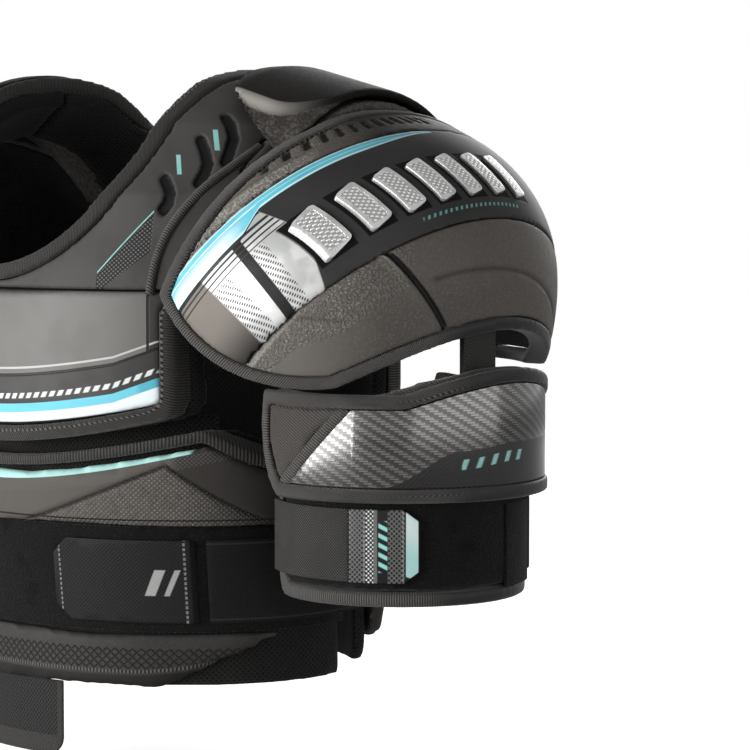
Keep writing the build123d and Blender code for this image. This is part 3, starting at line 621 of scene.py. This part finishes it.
def lower_moulding(place, facing):
    """The slit between the two lower panels, a slanted crease in front of it and a long one behind."""
    below, forward = cap_rows(*place.T)
    outside = smooth_step(facing[:, 0] - 0.7 * facing[:, 1], 0, 0.4)
    across = (forward - 73 + 0.76 * (below - 69.6)) / 1.256
    slit = 2.6 * bell(across, 1.9) * smooth_step(below, 113, 109)
    lip = 0.9 * bell(across - 2.7, 1.9) * smooth_step(below, 112, 104)
    front = 0.7 * bell(forward + 1.38 * below - 211.5, 2.4) * smooth_step(below, 66, 69) * smooth_step(below, 87, 84)
    rear = 0.9 * bell(below - 91.2 - 0.095 * (50 - forward), 1.9) * smooth_step(forward, 52, 47)
    bevel = 1.1 * smooth_step(below, 67.5, 64.5) * smooth_step(forward, 117, 123)
    return outside * (slit - lip + front + rear + bevel)


grained = foam_finish("grained_foam", (0.086, 0.077, 0.069), 0.44, grain=1.3, relief=0.1, specular=0.15)
below, forward = cap_rows(grained.x, grained.y, grained.z, grained.arctan2)
lit_front = forward.ramp(75, 125)
grained.paint(lit_front, (0.135, 0.124, 0.113))
edge = forward.ramp(92, 127, 89, 77) + forward.ramp(62, 98, 1.5, 0)
coarse = (edge - below).ramp(0, 2.5) * forward.ramp(56, 62)
grit = grained.noise(1.5, 1).ramp(0.42, 0.62)
grained.lift(coarse * grit, 0.42)
grained.paint(coarse * grit, (0.12, 0.11, 0.1))
glint = grained.noise(1.1, 1).ramp(0.62, 0.68)
grained.paint(coarse * glint * forward.ramp(70, 100), (0.26, 0.245, 0.22))
grained.shaded_dips((0.014, 0.013, 0.012), 1.4)
# Painted highlight: a light band along the panel's upper edge, where the front lamp catches it.
painted_ridge_highlight = below.within(62.5, 66.8, 0.8) * forward.ramp(114, 124)
grained.paint(painted_ridge_highlight, (0.24, 0.228, 0.208))
slit_line = forward - 73 + 0.76 * (below - 69.6)
lit_lip = slit_line.within(2.2, 3.8, 0.5) * below.ramp(90, 76) * below.ramp(68, 71)
grained.paint(lit_lip, (0.24, 0.228, 0.208))
# Painted shade: the slit between the two panels is painted near black.
painted_slit_shade = slit_line.within(-1.1, 1.3, 0.5) * below.ramp(68, 70)
grained.paint(painted_slit_shade, 0.005)
panel = taken("left_cap_lower", "left_cap_front_panel")
rear_half = taken("rear_half", "left_cap_rear_panel")
alone(panel)
rear_half.select_set(True)
bpy.ops.object.join()
moved(panel, points(panel) + 0.0004 * normals(panel))
rounded(panel, 0.0012, 9)
moved(panel, points(panel) - 0.0001 * normals(panel))
pressed(panel, lower_moulding)
sewn_on_both(panel, grained.done(), "shoulder_cap", "molded_foam", "cap_front_panel", "cap_rear_panel", fill=0.9)

plate = Finish("silver_film", (0.5, 0.5, 0.49), 0.26, 0.6)
cloudy = plate.noise(9).ramp(0.42, 0.65)
plate.paint(cloudy, (0.36, 0.36, 0.355)).polish(cloudy, 0.36)
below, _ = cap_rows(plate.x, plate.y, plate.z, plate.arctan2)
_, off_bar = bar_rows(plate, below)
field = off_bar.ramp(3.9, 3.5) * below.within(30, 54, 0.3)
tread = field * plate.dots(plate.y + 0.325 * plate.z, plate.z - 0.9 * plate.x, 2.7, 0.3, 0.16)
plate.paint(field, (0.3, 0.3, 0.295)).lift(field, -0.25)
plate.lift(tread, 0.3).paint(tread, (0.72, 0.72, 0.7)).polish(tread, 0.2).lift(plate.noise(0.4), 0.03)
bars = eased(taken("left_cap_inlay", "left_cap_bars"), 0.0007)
sewn_on_both(bars, plate.done(), "shoulder_cap", "silver_film", "cap_bars")


# ------------------------ arch pads on the shoulders
# A thick moulded pad lies over the top of each shoulder, crowned and bevelled towards the cap,
# with a thinner grained step in front of it and below it that the cap hangs from.
def arch_moulding(place, facing):
    """The front of the arch pad is moulded lower than its smooth crown, with a bevel between them."""
    edge = -49.7 + 3.78e-4 * np.clip(np.abs(place[:, 0]) - 145.7, 0, None) ** 3
    outside = smooth_step(facing[:, 2] - 0.6 * facing[:, 1], 0.1, 0.5)
    return 2.4 * outside * smooth_step(place[:, 1] - edge, 3.5, -1)


arch = foam_finish("arch_foam", (0.014, 0.0127, 0.0116), 0.48, grain=0.6, relief=0.05, specular=0.02)
behind = arch.y + 49.7 - 3.78e-4 * (arch.x - 145.7).at_least(0) ** 3
cracks = arch.noise(2.2, 5).ramp(0.35, 0.65)
lowered = behind.ramp(1, -1)
arch.paint(lowered, (0.045, 0.041, 0.037)).lift(lowered * cracks, 0.35)
arch.paint(lowered * cracks * arch.noise(12).ramp(0.4, 0.65), (0.12, 0.11, 0.098))
# Painted highlight: the bevel of the arch pad is painted light where the front lamp catches it, fading out towards
# the shoulder's outer end.
bevel = behind.within(-1, 5.5, 0.8)
arch.paint(bevel * arch.x.ramp(185, 145), (0.3, 0.282, 0.26))
pad = rounded(taken("left_arch", "left_arch_pad"), 0.0019, 5)
pressed(pad, arch_moulding)
applied(pad, "SMOOTH", factor=0.5, iterations=3)
sewn_on_both(pad, arch.done(), trunk, "molded_foam", "arch_pad", fill=0.85)
leather = Finish("grained_step", (0.036, 0.032, 0.029), 0.48, specular=0.15)
cracks = leather.noise(2.2, 5).ramp(0.35, 0.65)
leather.lift(cracks, 0.35).lift(leather.noise(0.6), 0.08).paint(cracks, (0.075, 0.068, 0.061))
leather.paint(leather.noise(40).ramp(0.45, 0.7), (0.028, 0.025, 0.023))
pad = rounded(taken("left_arch_under", "left_arch_step"), 0.002, 4)
sewn_on_both(pad, leather.done(), trunk, "molded_foam", "arch_step", fill=0.85)


# ------------------------ collar shields and chest plate
# Two matte rubber shields cover the collar bones, with three pressed grooves and a ribbed piping each.
# Below them the chest plate is skinned with printed film, with a blue and a white band along its hem.
def along_line(place, line):
    """How far points lie from a bent line through the given places, in mm."""
    line = np.array(line, float)
    nearest = np.full(len(place), np.inf)
    for start, end in zip(line[:-1], line[1:]):
        share = np.clip((place - start) @ (end - start) / ((end - start) @ (end - start)), 0, 1)
        nearest = np.minimum(nearest, np.linalg.norm(place - start - share[:, None] * (end - start), axis=1))
    return nearest


shield_grooves = (
    ((121, -51.7, 0.5), (126.1, -52.5, -4.1), (129.5, -53.3, -11.4), (130.3, -57, -18.2), (131, -60.8, -25)),
    ((117.1, -67.2, -12.6), (120.6, -67.3, -18.2), (124.3, -68.3, -25.6), (124.7, -71, -30.6), (124.3, -75.2, -36.8)),
    ((108.5, -86.7, -34.6), (111.3, -86.9, -38.5), (113.6, -87.5, -42.4), (113.3, -88.7, -48), (111.2, -90.7, -51.9)),
)


def shield_moulding(place, facing):
    """Three box-shaped grooves that run down beside the neck, and the step of the lower panel."""
    near = np.abs(place) * (1, 0, 0) + place * (0, 1, 1)
    deep = sum(smooth_step(along_line(near, line), 3.6, 2.4) for line in shield_grooves)
    step = smooth_step(along_line(near, ((97.7, -86.8, -58), (103, -83, -57), (108, -78.9, -56))), 2.2, 0.6)
    return (2.6 * deep + 0.7 * step) * smooth_step(facing[:, 1], 0.4, 0)


mint = (0.3, 0.62, 0.57)
rubber = Finish("rubber_shield", (0.062, 0.0595, 0.057), 0.55, specular=0.15)
rubber.lift(rubber.noise(0.6), 0.06).paint(rubber.noise(30).ramp(0.45, 0.7), (0.05, 0.048, 0.046))
tick = rubber.x + 0.39 * rubber.z
upper_edge = rubber.z - 1.28 * rubber.x
before = rubber.y.ramp(-28, -34)
for middle, low, high in ((118.4, -18.5, -6.8), (101.8, -32, -21)):
    rubber.paint(tick.within(middle - 1, middle + 1) * rubber.z.within(low, high, 0.4) * before, mint)
lower_panel = rubber.x.within(80, 107) * before
inset = upper_edge.ramp(-191.1, -191.6) * (rubber.z - 0.89 * rubber.x).ramp(-170.8, -170.3) * lower_panel
rubber.paint(inset, 0.012).lift(inset, -0.3)
rubber.paint(inset * rubber.dots(rubber.x, rubber.z, 1.7, 0.3), (0.13, 0.128, 0.124))
rubber.paint(upper_edge.within(-190.2, -189.2, 0.15) * lower_panel, mint)
rubber.shaded_dips((0.004, 0.004, 0.004), 1.7)
rubber_shield = rubber.done()
shield = rounded(taken("left_collar_plate", "left_collar_shield"), 0.0015, 4)
pressed(shield, shield_moulding)
sewn_on_both(shield, rubber_shield, trunk, "rubber_shield", "collar_shield", fill=0.9)

# The piping between the collar shield and the cap is a cord under ribbed tape, sewn to the liner.
bpy.ops.object.select_all(action="DESELECT")
bpy.ops.curve.primitive_nurbs_path_add()
cord = bpy.context.object
cord.name = "left_shield_piping"
spline = cord.data.splines[0]
route = (
    (138.5, -41.6, -16.5), (136.8, -51.6, -22.8), (132.4, -62.8, -30.6), (127.5, -73.5, -39.1), (121, -82.8, -50.8),
    (115.1, -88.9, -62), (111.3, -93.1, -73.2), (108.9, -96.3, -85.6), (108.5, -98.3, -99.6),
)
spline.points.add(len(route) - len(spline.points))
for point, place in zip(spline.points, route):
    point.co = (*(0.001 * part for part in place), 1)
spline.order_u = 4
spline.use_endpoint_u = True
spline.resolution_u = 12
cord.data.bevel_depth = 0.0027
cord.data.bevel_resolution = 3
cord.data.use_fill_caps = True
bpy.ops.object.convert(target="MESH")
bpy.ops.object.shade_smooth()
along = points(cord)[:, 1] * -0.9 - points(cord)[:, 2] * 0.75
laid(cord, along, along * 0)
sewn_on_both(cord, binding, trunk, "ribbed_binding")

chest = Finish("chest_film", (0.034, 0.032, 0.031), 0.42, specular=0.2)
row = chest.z - 0.00108 * chest.x ** 2 + 176.3
rise = row - 0.2 * (chest.x - 90).at_least(0)
inner_field = rise.ramp(28, 29) * chest.x.ramp(108, 107) * rise.ramp(78, 72)
chest.paint(inner_field, (0.15, 0.144, 0.136))
chest.paint(rise.within(32, 33.2, 0.15), 0.5)
frame_line = rise.within(27.9, 29.3) | chest.x.within(106.9, 108.1) * rise.ramp(28, 29)
chest.paint(frame_line, 0.01).lift(frame_line, -0.6)
blue_band = rise.ramp(6.8, 7.2) * rise.ramp(12.2, 11.8)
chest.paint(blue_band, print_blue).paint(blue_band * chest.x.ramp(101, 105), (0.1, 0.44, 0.57))
chest.paint(row.ramp(1.2, 1.8) * rise.ramp(7.2, 6.8), (0.82, 0.9, 0.92))
white_dashes = rise.within(15, 18) * (chest.x - 0.5 * rise).dashes(5.4, 0.6)
chest.paint(white_dashes, (0.72, 0.75, 0.74))
chest.lift(chest.noise(0.7), 0.05).polish(chest.noise(20).ramp(0.4, 0.7), 0.5)
plate_piece = rounded(taken("chest_panel", "chest_plate"), 0.0018, 5)
sewn(plate_piece, chest.done(), trunk, "printed_film", "chest_plate", fill=0.9)

# A light stretch mesh hangs from the inside of the chest liner and closes the gap over the belly panel.
bpy.ops.mesh.primitive_cylinder_add(
    vertices=256, radius=1, depth=0.044, end_fill_type="NOTHING", location=(0, 0, -0.192), scale=(0.1275, 0.1075, 1))
bpy.ops.object.transform_apply(location=True, rotation=True, scale=True)
mesh_gore = bpy.context.object
mesh_gore.name = "stretch_mesh"
with reshaped(mesh_gore) as shape:
    off = [vertex for vertex in shape.verts if vertex.co.y > 0 or abs(vertex.co.x) > 0.113]
    bmesh.ops.delete(shape, geom=off, context="VERTS")
applied(mesh_gore, "SOLIDIFY", thickness=0.0012, offset=0)
bpy.ops.object.shade_smooth_by_angle(angle=math.radians(35))
laid_round(mesh_gore, trunk_axis, 0.12, 180)
sewn(mesh_gore, spacer_mesh, trunk, "liner_mesh")


# ------------------------ back plate and spine guard
# The back is one moulded foam plate with vent holes, and four rubber pads ride down the spine.
def back_moulding(place, facing):
    """Two long channels beside the spine, and two that fan out towards the shoulder blades."""
    out = np.abs(place[:, 0])
    channel = bell(out - 35, 5) + bell(out - 60 - 0.35 * (place[:, 2] + 150), 4) * smooth_step(place[:, 2], -40, -60)
    return 1.8 * channel * smooth_step(facing[:, 1], 0.1, 0.4)


vented = foam_finish("vented_foam", (0.032, 0.029, 0.027), 0.5, grain=0.7, relief=0.07, specular=0.15)
vents = vented.dots(vented.x, vented.z, 13, 0.2, 0.03) * vented.x.within(42, 100, 4) * vented.z.within(-165, -60, 4)
vented.shaded_dips((0.014, 0.013, 0.012), 1.8)
vented.lift(vents, -1.2).paint(vents, 0.003)
shell = rounded(taken("back_panel", "back_plate"), 0.002, 5)
pressed(shell, back_moulding)
sewn(shell, vented.done(), trunk, "molded_foam", "back_plate", fill=0.9)
spine = rounded(taken("spine_pads", "spine_guard"), 0.0016, 6)
sewn(spine, rubber_shield, trunk, "rubber_shield", "spine_guard", fill=0.9)


# ------------------------ arm guards
# Each upper arm has a foam guard whose front end is covered in crowned ribbed mesh and whose side is a
# carbon-look film shield, over a soft wrap of loop cloth that closes with an elastic strap and a tab.
def puffed(piece, cap, shrink=0.8, voxel=0.0045, pressure=4):
    """Swells a soft piece like stuffed cloth. It starts smaller by shrink, and no point passes cap, in mm."""
    box = points(piece).min(0), points(piece).max(0)
    rounded(piece, voxel, 3)
    rest = points(piece)
    moved(piece, rest - 0.001 * shrink * normals(piece))
    alone(piece)
    stuffing = piece.modifiers.new("stuffing", "CLOTH")
    stuffing.settings.use_pressure = True
    stuffing.settings.uniform_pressure_force = pressure
    stuffing.settings.effector_weights.gravity = 0
    stuffing.settings.tension_stiffness = 8
    stuffing.settings.compression_stiffness = 8
    stuffing.settings.bending_stiffness = 0.3
    for frame_number in range(1, 21):
        bpy.context.scene.frame_set(frame_number)
    swollen = piece.evaluated_get(bpy.context.evaluated_depsgraph_get()).to_mesh()
    place = listed(swollen.vertices, "co")
    piece.modifiers.remove(stuffing)
    bpy.context.scene.frame_set(1)
    step = place - rest
    reach = np.linalg.norm(step, axis=1, keepdims=True)
    moved(piece, rest + step * np.minimum(1, 0.001 * cap / np.maximum(reach, 1e-9)))
    applied(piece, "SUBSURF", levels=1, render_levels=1)
    applied(piece, "SMOOTH", factor=0.5, iterations=2)
    place = points(piece)
    share = (place - place.min(0)) / (place.max(0) - place.min(0))
    moved(piece, box[0] + share * (box[1] - box[0]))
    alone(piece)
    bpy.ops.object.shade_smooth()
    return piece


def trimmed(piece, middle, outward):
    """Cuts off the part of a piece past a plane through middle, in mm, and closes the cut."""
    with reshaped(piece) as shape:
        cut = bmesh.ops.bisect_plane(
            shape, geom=shape.verts[:] + shape.edges[:] + shape.faces[:], plane_co=0.001 * Vector(middle),
            plane_no=Vector(outward), clear_outer=True)
        rim = [part for part in cut["geom_cut"] if isinstance(part, bmesh.types.BMEdge)]
        bmesh.ops.holes_fill(shape, edges=rim, sides=0)
        bmesh.ops.recalc_face_normals(shape, faces=shape.faces)
    return piece


across_strap = Vector((0.661, 0.273, -0.698))


def parted(piece, keep_front, offset=0.0):
    """Cuts a guard piece along the slanted line of the diagonal strap, offset in mm, and keeps one side."""
    across = across_strap.normalized()
    return trimmed(piece, Vector((235.4, -71.6, -164)) + offset * across, across if keep_front else -across)


ribbed = Finish("ribbed_mesh", (0.1, 0.088, 0.08), 0.6, specular=0.12, Sheen_Weight=0.1)
ridges = (ribbed.v + 0.55 * ribbed.u).ribs(1.7) * (0.55 + 0.45 * ribbed.u.ribs(1.5))
ribbed.lift(ridges, 0.3).paint(1 - ridges, (0.028, 0.025, 0.023))
ribbed.paint(ribbed.noise(30).ramp(0.5, 0.75), (0.045, 0.04, 0.037))
ribbed_mesh = ribbed.done()
pad = laid_round(puffed(taken("left_guard_pad", "left_bicep_pad"), 2, shrink=1.2), arm_axis, 0.074, 270)
sewn_on_both(pad, ribbed_mesh, "arm_guard", "molded_foam", "bicep_pad", fill=0.7)

end = puffed(parted(taken("left_guard_end", "left_bicep_shield"), True, -5.2), 1.6, shrink=0.2, voxel=0.0022)
laid_round(end, arm_axis, 0.078, 270)
sewn_on_both(end, ribbed_mesh, "arm_guard", "molded_foam", fill=0.8)
strip = parted(parted(taken("left_guard_strap", "left_bicep_shield"), True), False, -6)
applied(strip, "REMESH", mode="VOXEL", voxel_size=0.0014)
moved(strip, points(strip) + 0.0009 * normals(strip))
applied(strip, "SMOOTH", factor=0.5, iterations=5)
alone(strip)
bpy.ops.object.shade_smooth()
upward = points(strip) @ np.array((0.47, 0.35, 0.81))
laid(strip, upward, points(strip) @ np.array(across_strap) + 0.0575)
sewn_on_both(strip, binding, "arm_guard", "ribbed_binding")

carbon = Finish("carbon_film", (0.04, 0.0385, 0.037), 0.3, 0.5, Coat_Weight=0.7, Coat_Roughness=0.16, specular=0.2)
column, row = carbon.sum("FLOOR", carbon.u / 2.3), carbon.sum("FLOOR", carbon.v / 1.35)
twill = carbon.sum("LESS_THAN", (column + row) % 4, 1.5)
carbon.paint(twill, (0.165, 0.16, 0.155)).polish(twill, 0.22)
carbon.paint((1 - carbon.v.ribs(1.35)).ramp(0.72, 1), (0.03, 0.029, 0.028))
carbon.paint(carbon.noise(50).ramp(0.4, 0.7) * (1 - twill), (0.055, 0.053, 0.051))
under = carbon.y.ramp(-64, -27, -201, -181) + carbon.y.ramp(-27, 10, 0, 3.4) - carbon.z
low_band = under.ramp(-0.3, 0.3)
low_dots = low_band * carbon.dots(carbon.u, carbon.v, 1.9, 0.28)
carbon.paint(low_band, (0.01, 0.0095, 0.009)).plate(low_band, 0).polish(low_band, 0.5)
carbon.paint(low_band * carbon.y.ramp(-30, -45), 0.006)
carbon.paint(low_dots, 0.004).lift(low_dots, -0.25)
slats = under.within(4.5, 10) * carbon.y.within(-26, 20, 0.5) * (carbon.u - 0.4 * carbon.v).dashes(9, 0.35)
carbon.paint(slats, (0.3, 0.62, 0.58))
shield = eased(parted(taken("left_guard_shield", "left_bicep_shield"), False), 0.0008, 3)
laid_round(shield, arm_axis, 0.078, 270)
sewn_on_both(shield, carbon.done(), "arm_guard", "shield_plastic", "bicep_shield")

plush = Finish("loop_cloth", (0.008, 0.008, 0.0078), 0.95, specular=0.06, Sheen_Weight=0.12, Sheen_Roughness=0.4)
fluff = plush.noise(0.9, 4)
plush.lift(fluff, 0.9).paint(fluff.ramp(0.48, 0.75), (0.02, 0.02, 0.0195))
plush.paint(plush.noise(14).ramp(0.55, 0.72), 0.0055)
loop_cloth = plush.done()
wrap = laid_round(puffed(taken("left_wrap", "left_arm_wrap"), 2, shrink=0.6, voxel=0.003), arm_axis, 0.07, 270)
sewn_on_both(wrap, loop_cloth, "arm_guard", "loop_fabric", "arm_wrap", fill=0.6)
patch = eased(taken("left_wrap_patch", "left_arm_wrap_patch"))
sewn_on_both(patch, loop_cloth, "arm_guard", "loop_fabric", "arm_wrap_patch")

woven = Finish("woven_elastic", (0.018, 0.0175, 0.017), 0.7, specular=0.15)
thread = (woven.u + woven.v).ribs(1.7) * (woven.u - woven.v).ribs(1.7)
woven.lift(thread, 0.3).paint(thread.ramp(0.2, 0.6), (0.11, 0.107, 0.103))
woven.paint(woven.noise(25).ramp(0.45, 0.7) * thread.ramp(0.2, 0.6), (0.075, 0.072, 0.07))
arm_weave = woven.done()
strap = laid_round(eased(taken("left_arm_strap", "left_arm_elastic")), arm_axis, 0.071, 270)
sewn_on_both(strap, arm_weave, "arm_guard", "elastic", "arm_elastic")
webbing = laid_round(eased(taken("left_webbing", "left_arm_webbing")), arm_axis, 0.06, 270)
sewn_on_both(webbing, arm_weave, "suspension_webbing", "elastic", "arm_webbing")

# The printed pull tab of the arm strap: white dots, a grey fold, mint slats and a mint and white end.
tab = Finish("arm_tab_film", 0.012, 0.45, specular=0.15)
turn = tab.u * math.degrees(1 / 72) - 90
net = 1 - tab.dots(tab.u, tab.v, 1.9, 0.36)
tab.paint(net, (0.13, 0.13, 0.127))
tab.paint(turn.within(28.9, 32.7), 0.012)
tab.paint(turn.within(29.2, 32.6) * tab.dots(tab.u, tab.v, 1.7, 0.33), (0.66, 0.7, 0.69))
fold = turn.within(32.7, 34.3, 0.15)
tab.paint(fold, (0.14, 0.14, 0.135)).lift(fold, 0.3)
slats = turn.within(34.8, 38.6, 0.12) * (tab.v + 0.5 * tab.u).dashes(5.2, 0.45) * tab.v.within(-247, -219, 0.4)
tab.paint(turn.within(34.4, 38.8, 0.12), 0.012).paint(slats, (0.3, 0.66, 0.6))
stitched = turn.within(44.8, 45.6, 0.1) | turn.within(28.3, 28.9, 0.1)
tab.paint(stitched * tab.v.dashes(2.6, 0.6), (0.25, 0.25, 0.245))
end_block = turn.within(46.5, 51.7, 0.12)
inside_end = (tab.v + 0.45 * (turn - 46.6)).within(-249, -210, 0.6)
tab.paint(turn.ramp(45.8, 46.2), 0.012)
tab.paint(end_block * inside_end, (0.72, 0.86, 0.84))
tab.paint(end_block * inside_end * (tab.v + 0.6 * tab.u).ramp(-118, -136), (0.45, 0.74, 0.71))
tab.lift(tab.noise(0.6), 0.05)
pull = taken("left_arm_pull", "left_arm_tab")
end_turn = math.radians(52.2)
trimmed(pull, (206, 4, 0), (math.cos(end_turn), math.sin(end_turn), 0))
for rise, corner in ((1, -219.5), (-1, -246.5)):
    slant = Vector((math.cos(end_turn), math.sin(end_turn), 1.35 * rise))
    trimmed(pull, (206 + 72 * math.sin(end_turn), 4 - 72 * math.cos(end_turn), corner), slant)
laid_round(eased(pull), arm_axis, 0.072, 270)
sewn_on_both(pull, tab.done(), "arm_strap_tab", "strap_tab", "arm_tab")


# ------------------------ belly panels, waist strap and kidney pad
# Below the chest hangs a belly panel with pebbled rib pads, a loop band for the strap and a lower pad.
# The waist strap comes round from the back liner, and the kidney pad hangs below the back plate.
lining = laid_round(rounded(taken("belly_lining", "belly_liner"), 0.0025, 5), trunk_axis, 0.13, 180)
sewn(lining, spacer_mesh, "belly_panels", "liner_mesh", "belly_liner")


def rib_moulding(place, facing):
    """The crease over the outer lobe of a rib pad, and the dished field under its printed edge."""
    out = np.abs(place[:, 0])
    down = -202.6 + 1.2e-3 * out ** 2 - place[:, 2]
    outside = smooth_step(-facing[:, 1], 0.2, 0.6)
    crease = bell(down + 0.25 * (out - 92) - 13.7, 2.4) * smooth_step(out, 114, 110)
    lobe = bell(place[:, 2] + 196.5 + (out - 111.6), 3) * smooth_step(out, 109, 113)
    return 1.3 * outside * np.maximum(crease, lobe)


pebbled = foam_finish("pebbled_foam", (0.038, 0.034, 0.031), 0.52, grain=0.7, relief=0.06, specular=0.15)
down = 0.0012 * pebbled.x ** 2 - 202.6 - pebbled.z
lobe = pebbled.x.ramp(111, 113) * (pebbled.z + pebbled.x).ramp(-85.4, -84.4)
below = (down + 0.25 * pebbled.x).ramp(36, 37.5) * (1 - lobe)
pebble = pebbled.dots(pebbled.u, pebbled.v, 2.0, 0.3, 0.2)
pebbled.paint(pebbled.x.ramp(150, 108), (0.085, 0.078, 0.07))
pebbled.paint(lobe * pebbled.x.ramp(112, 118), (0.038, 0.034, 0.031))
pebbled.lift(pebble * below, 0.4)
pebbled.paint(pebble * below * pebbled.x.ramp(150, 118) * pebbled.noise(4).ramp(0.3, 0.6), (0.16, 0.15, 0.137))
pebbled.paint(down.within(5.6, 12.5) * pebbled.dots(pebbled.u, pebbled.v, 1.6, 0.27), (0.1, 0.096, 0.09))
pebbled.paint(down.within(-1, 5, 0.2) * pebbled.x.ramp(123, 121), (0.42, 0.72, 0.67))
pebbled.paint(pebbled.z.within(-228.6, -227.6), (0.012, 0.011, 0.01)).shaded_dips((0.014, 0.013, 0.012))
rib = puffed(taken("left_rib_pad", "left_rib_panel"), 1.4, shrink=0.4, voxel=0.003)
pressed(rib, rib_moulding)
laid_round(rib, trunk_axis, 0.13, 180)
sewn_on_both(rib, pebbled.done(), "belly_panels", "molded_foam", "rib_panel", fill=0.7)
loops = eased(taken("waist_loops", "waist_loop_band"))
sewn(loops, loop_cloth, "belly_panels", "loop_fabric", "waist_loop_band")

quilt = foam_finish("quilted_foam", (0.04, 0.037, 0.034), 0.52, specular=0.12)
over_welt = quilt.z + 315.7 - 0.0037 * (quilt.x - 86).at_least(0) ** 2
field = over_welt.ramp(0.8, 2) * quilt.z.ramp(-302, -303.5) * quilt.y.ramp(20, 10)
stitching = (quilt.u + 1.1 * quilt.v).ribs(5.2).ramp(0.8, 1) | (quilt.u - 1.1 * quilt.v).ribs(5.2).ramp(0.8, 1)
quilt.lift(field * stitching, -0.9).paint(field * stitching, (0.02, 0.019, 0.018))
welt_line = over_welt.within(-1.2, 0.8, 0.2) * quilt.z.ramp(-306, -308)
quilt.paint(welt_line, (0.012, 0.012, 0.011)).paint(welt_line * quilt.u.dashes(2.2, 0.5), (0.1, 0.095, 0.09))
quilt.paint(over_welt.ramp(-1.5, -3) * quilt.z.ramp(-309, -313), (0.018, 0.017, 0.016))
lower_pad = puffed(taken("belly_lower_pad", "belly_pad"), 2.2, shrink=0.9, voxel=0.004)
laid_round(lower_pad, trunk_axis, 0.13, 180)
sewn(lower_pad, quilt.done(), "belly_panels", "molded_foam", "belly_pad", fill=0.7)

label = Finish("label_mesh", (0.03, 0.0295, 0.029), 0.7, specular=0.12)
holes = label.dots(label.u, label.v, 2, 0.25)
label.paint(holes, 0.008).lift(holes, -0.4)
hem = label.x.ramp(36, 37) | label.z.ramp(-358, -359)
label.paint(hem, (0.05, 0.048, 0.046)).lift(hem * (label.u + label.v).ribs(1.6), 0.25)
tongue = laid_round(eased(taken("label_tongue", "size_label")), trunk_axis, 0.13, 180)
sewn(tongue, label.done(), "belly_panels", "label_mesh", "size_label")

band = Finish("waist_elastic", (0.009, 0.009, 0.0088), 0.75, specular=0.08)
thread = (band.u + band.v).ribs(1.9) * (band.u - band.v).ribs(1.9)
band.lift(thread, 0.2).paint(thread, (0.026, 0.0255, 0.025))
band.paint(band.v.within(-242.6, -241.6), 0.03).paint(band.v.within(-286.4, -285.4), 0.03)
strap = laid_round(eased(taken("left_waist_strap", "left_waist_elastic")), trunk_axis, 0.13, 180)
sewn_on_both(strap, band.done(), trunk, "elastic", "waist_elastic")

tab = Finish("waist_tab_film", 0.007, 0.5, specular=0.12)
lattice = 1 - tab.dots(tab.u, tab.v, 1.7, 0.4)
tab.paint(lattice, (0.016, 0.016, 0.0155)).lift(lattice, 0.12)
seam = tab.x.within(112.8, 113.8, 0.15) | tab.x.within(46.5, 47.5, 0.15)
tab.paint(seam * tab.v.dashes(2.8, 0.6), (0.2, 0.2, 0.195))
lean = tab.x - 0.35 * tab.z
slats = (lean.within(190, 195, 0.3) | lean.within(199, 201.5, 0.3)) * tab.z.within(-272, -257, 0.3)
tab.paint(slats, (0.36, 0.36, 0.355)).polish(slats, 0.35)
pull = eased(trimmed(taken("left_waist_pull", "left_waist_tab"), (115.6, 0, 0), (1, 0, 0)))
laid_round(pull, trunk_axis, 0.13, 180)
sewn_on_both(pull, tab.done(), "waist_strap_tab", "strap_tab", "waist_tab")

kidney = laid_round(puffed(taken("kidney_cushion", "kidney_pad"), 3, shrink=1.2, voxel=0.005), trunk_axis, 0.13, 0)
channel = foam_finish("kidney_cloth", (0.03, 0.028, 0.026), 0.6, grain=0.9, specular=0.2)
channel.lift(channel.x.within(38, 42, 1.5), -1.6).paint(channel.x.within(39, 41, 0.5), (0.012, 0.011, 0.01))
sewn(kidney, channel.done(), "kidney_panel", "molded_foam", "kidney_pad", fill=0.6)
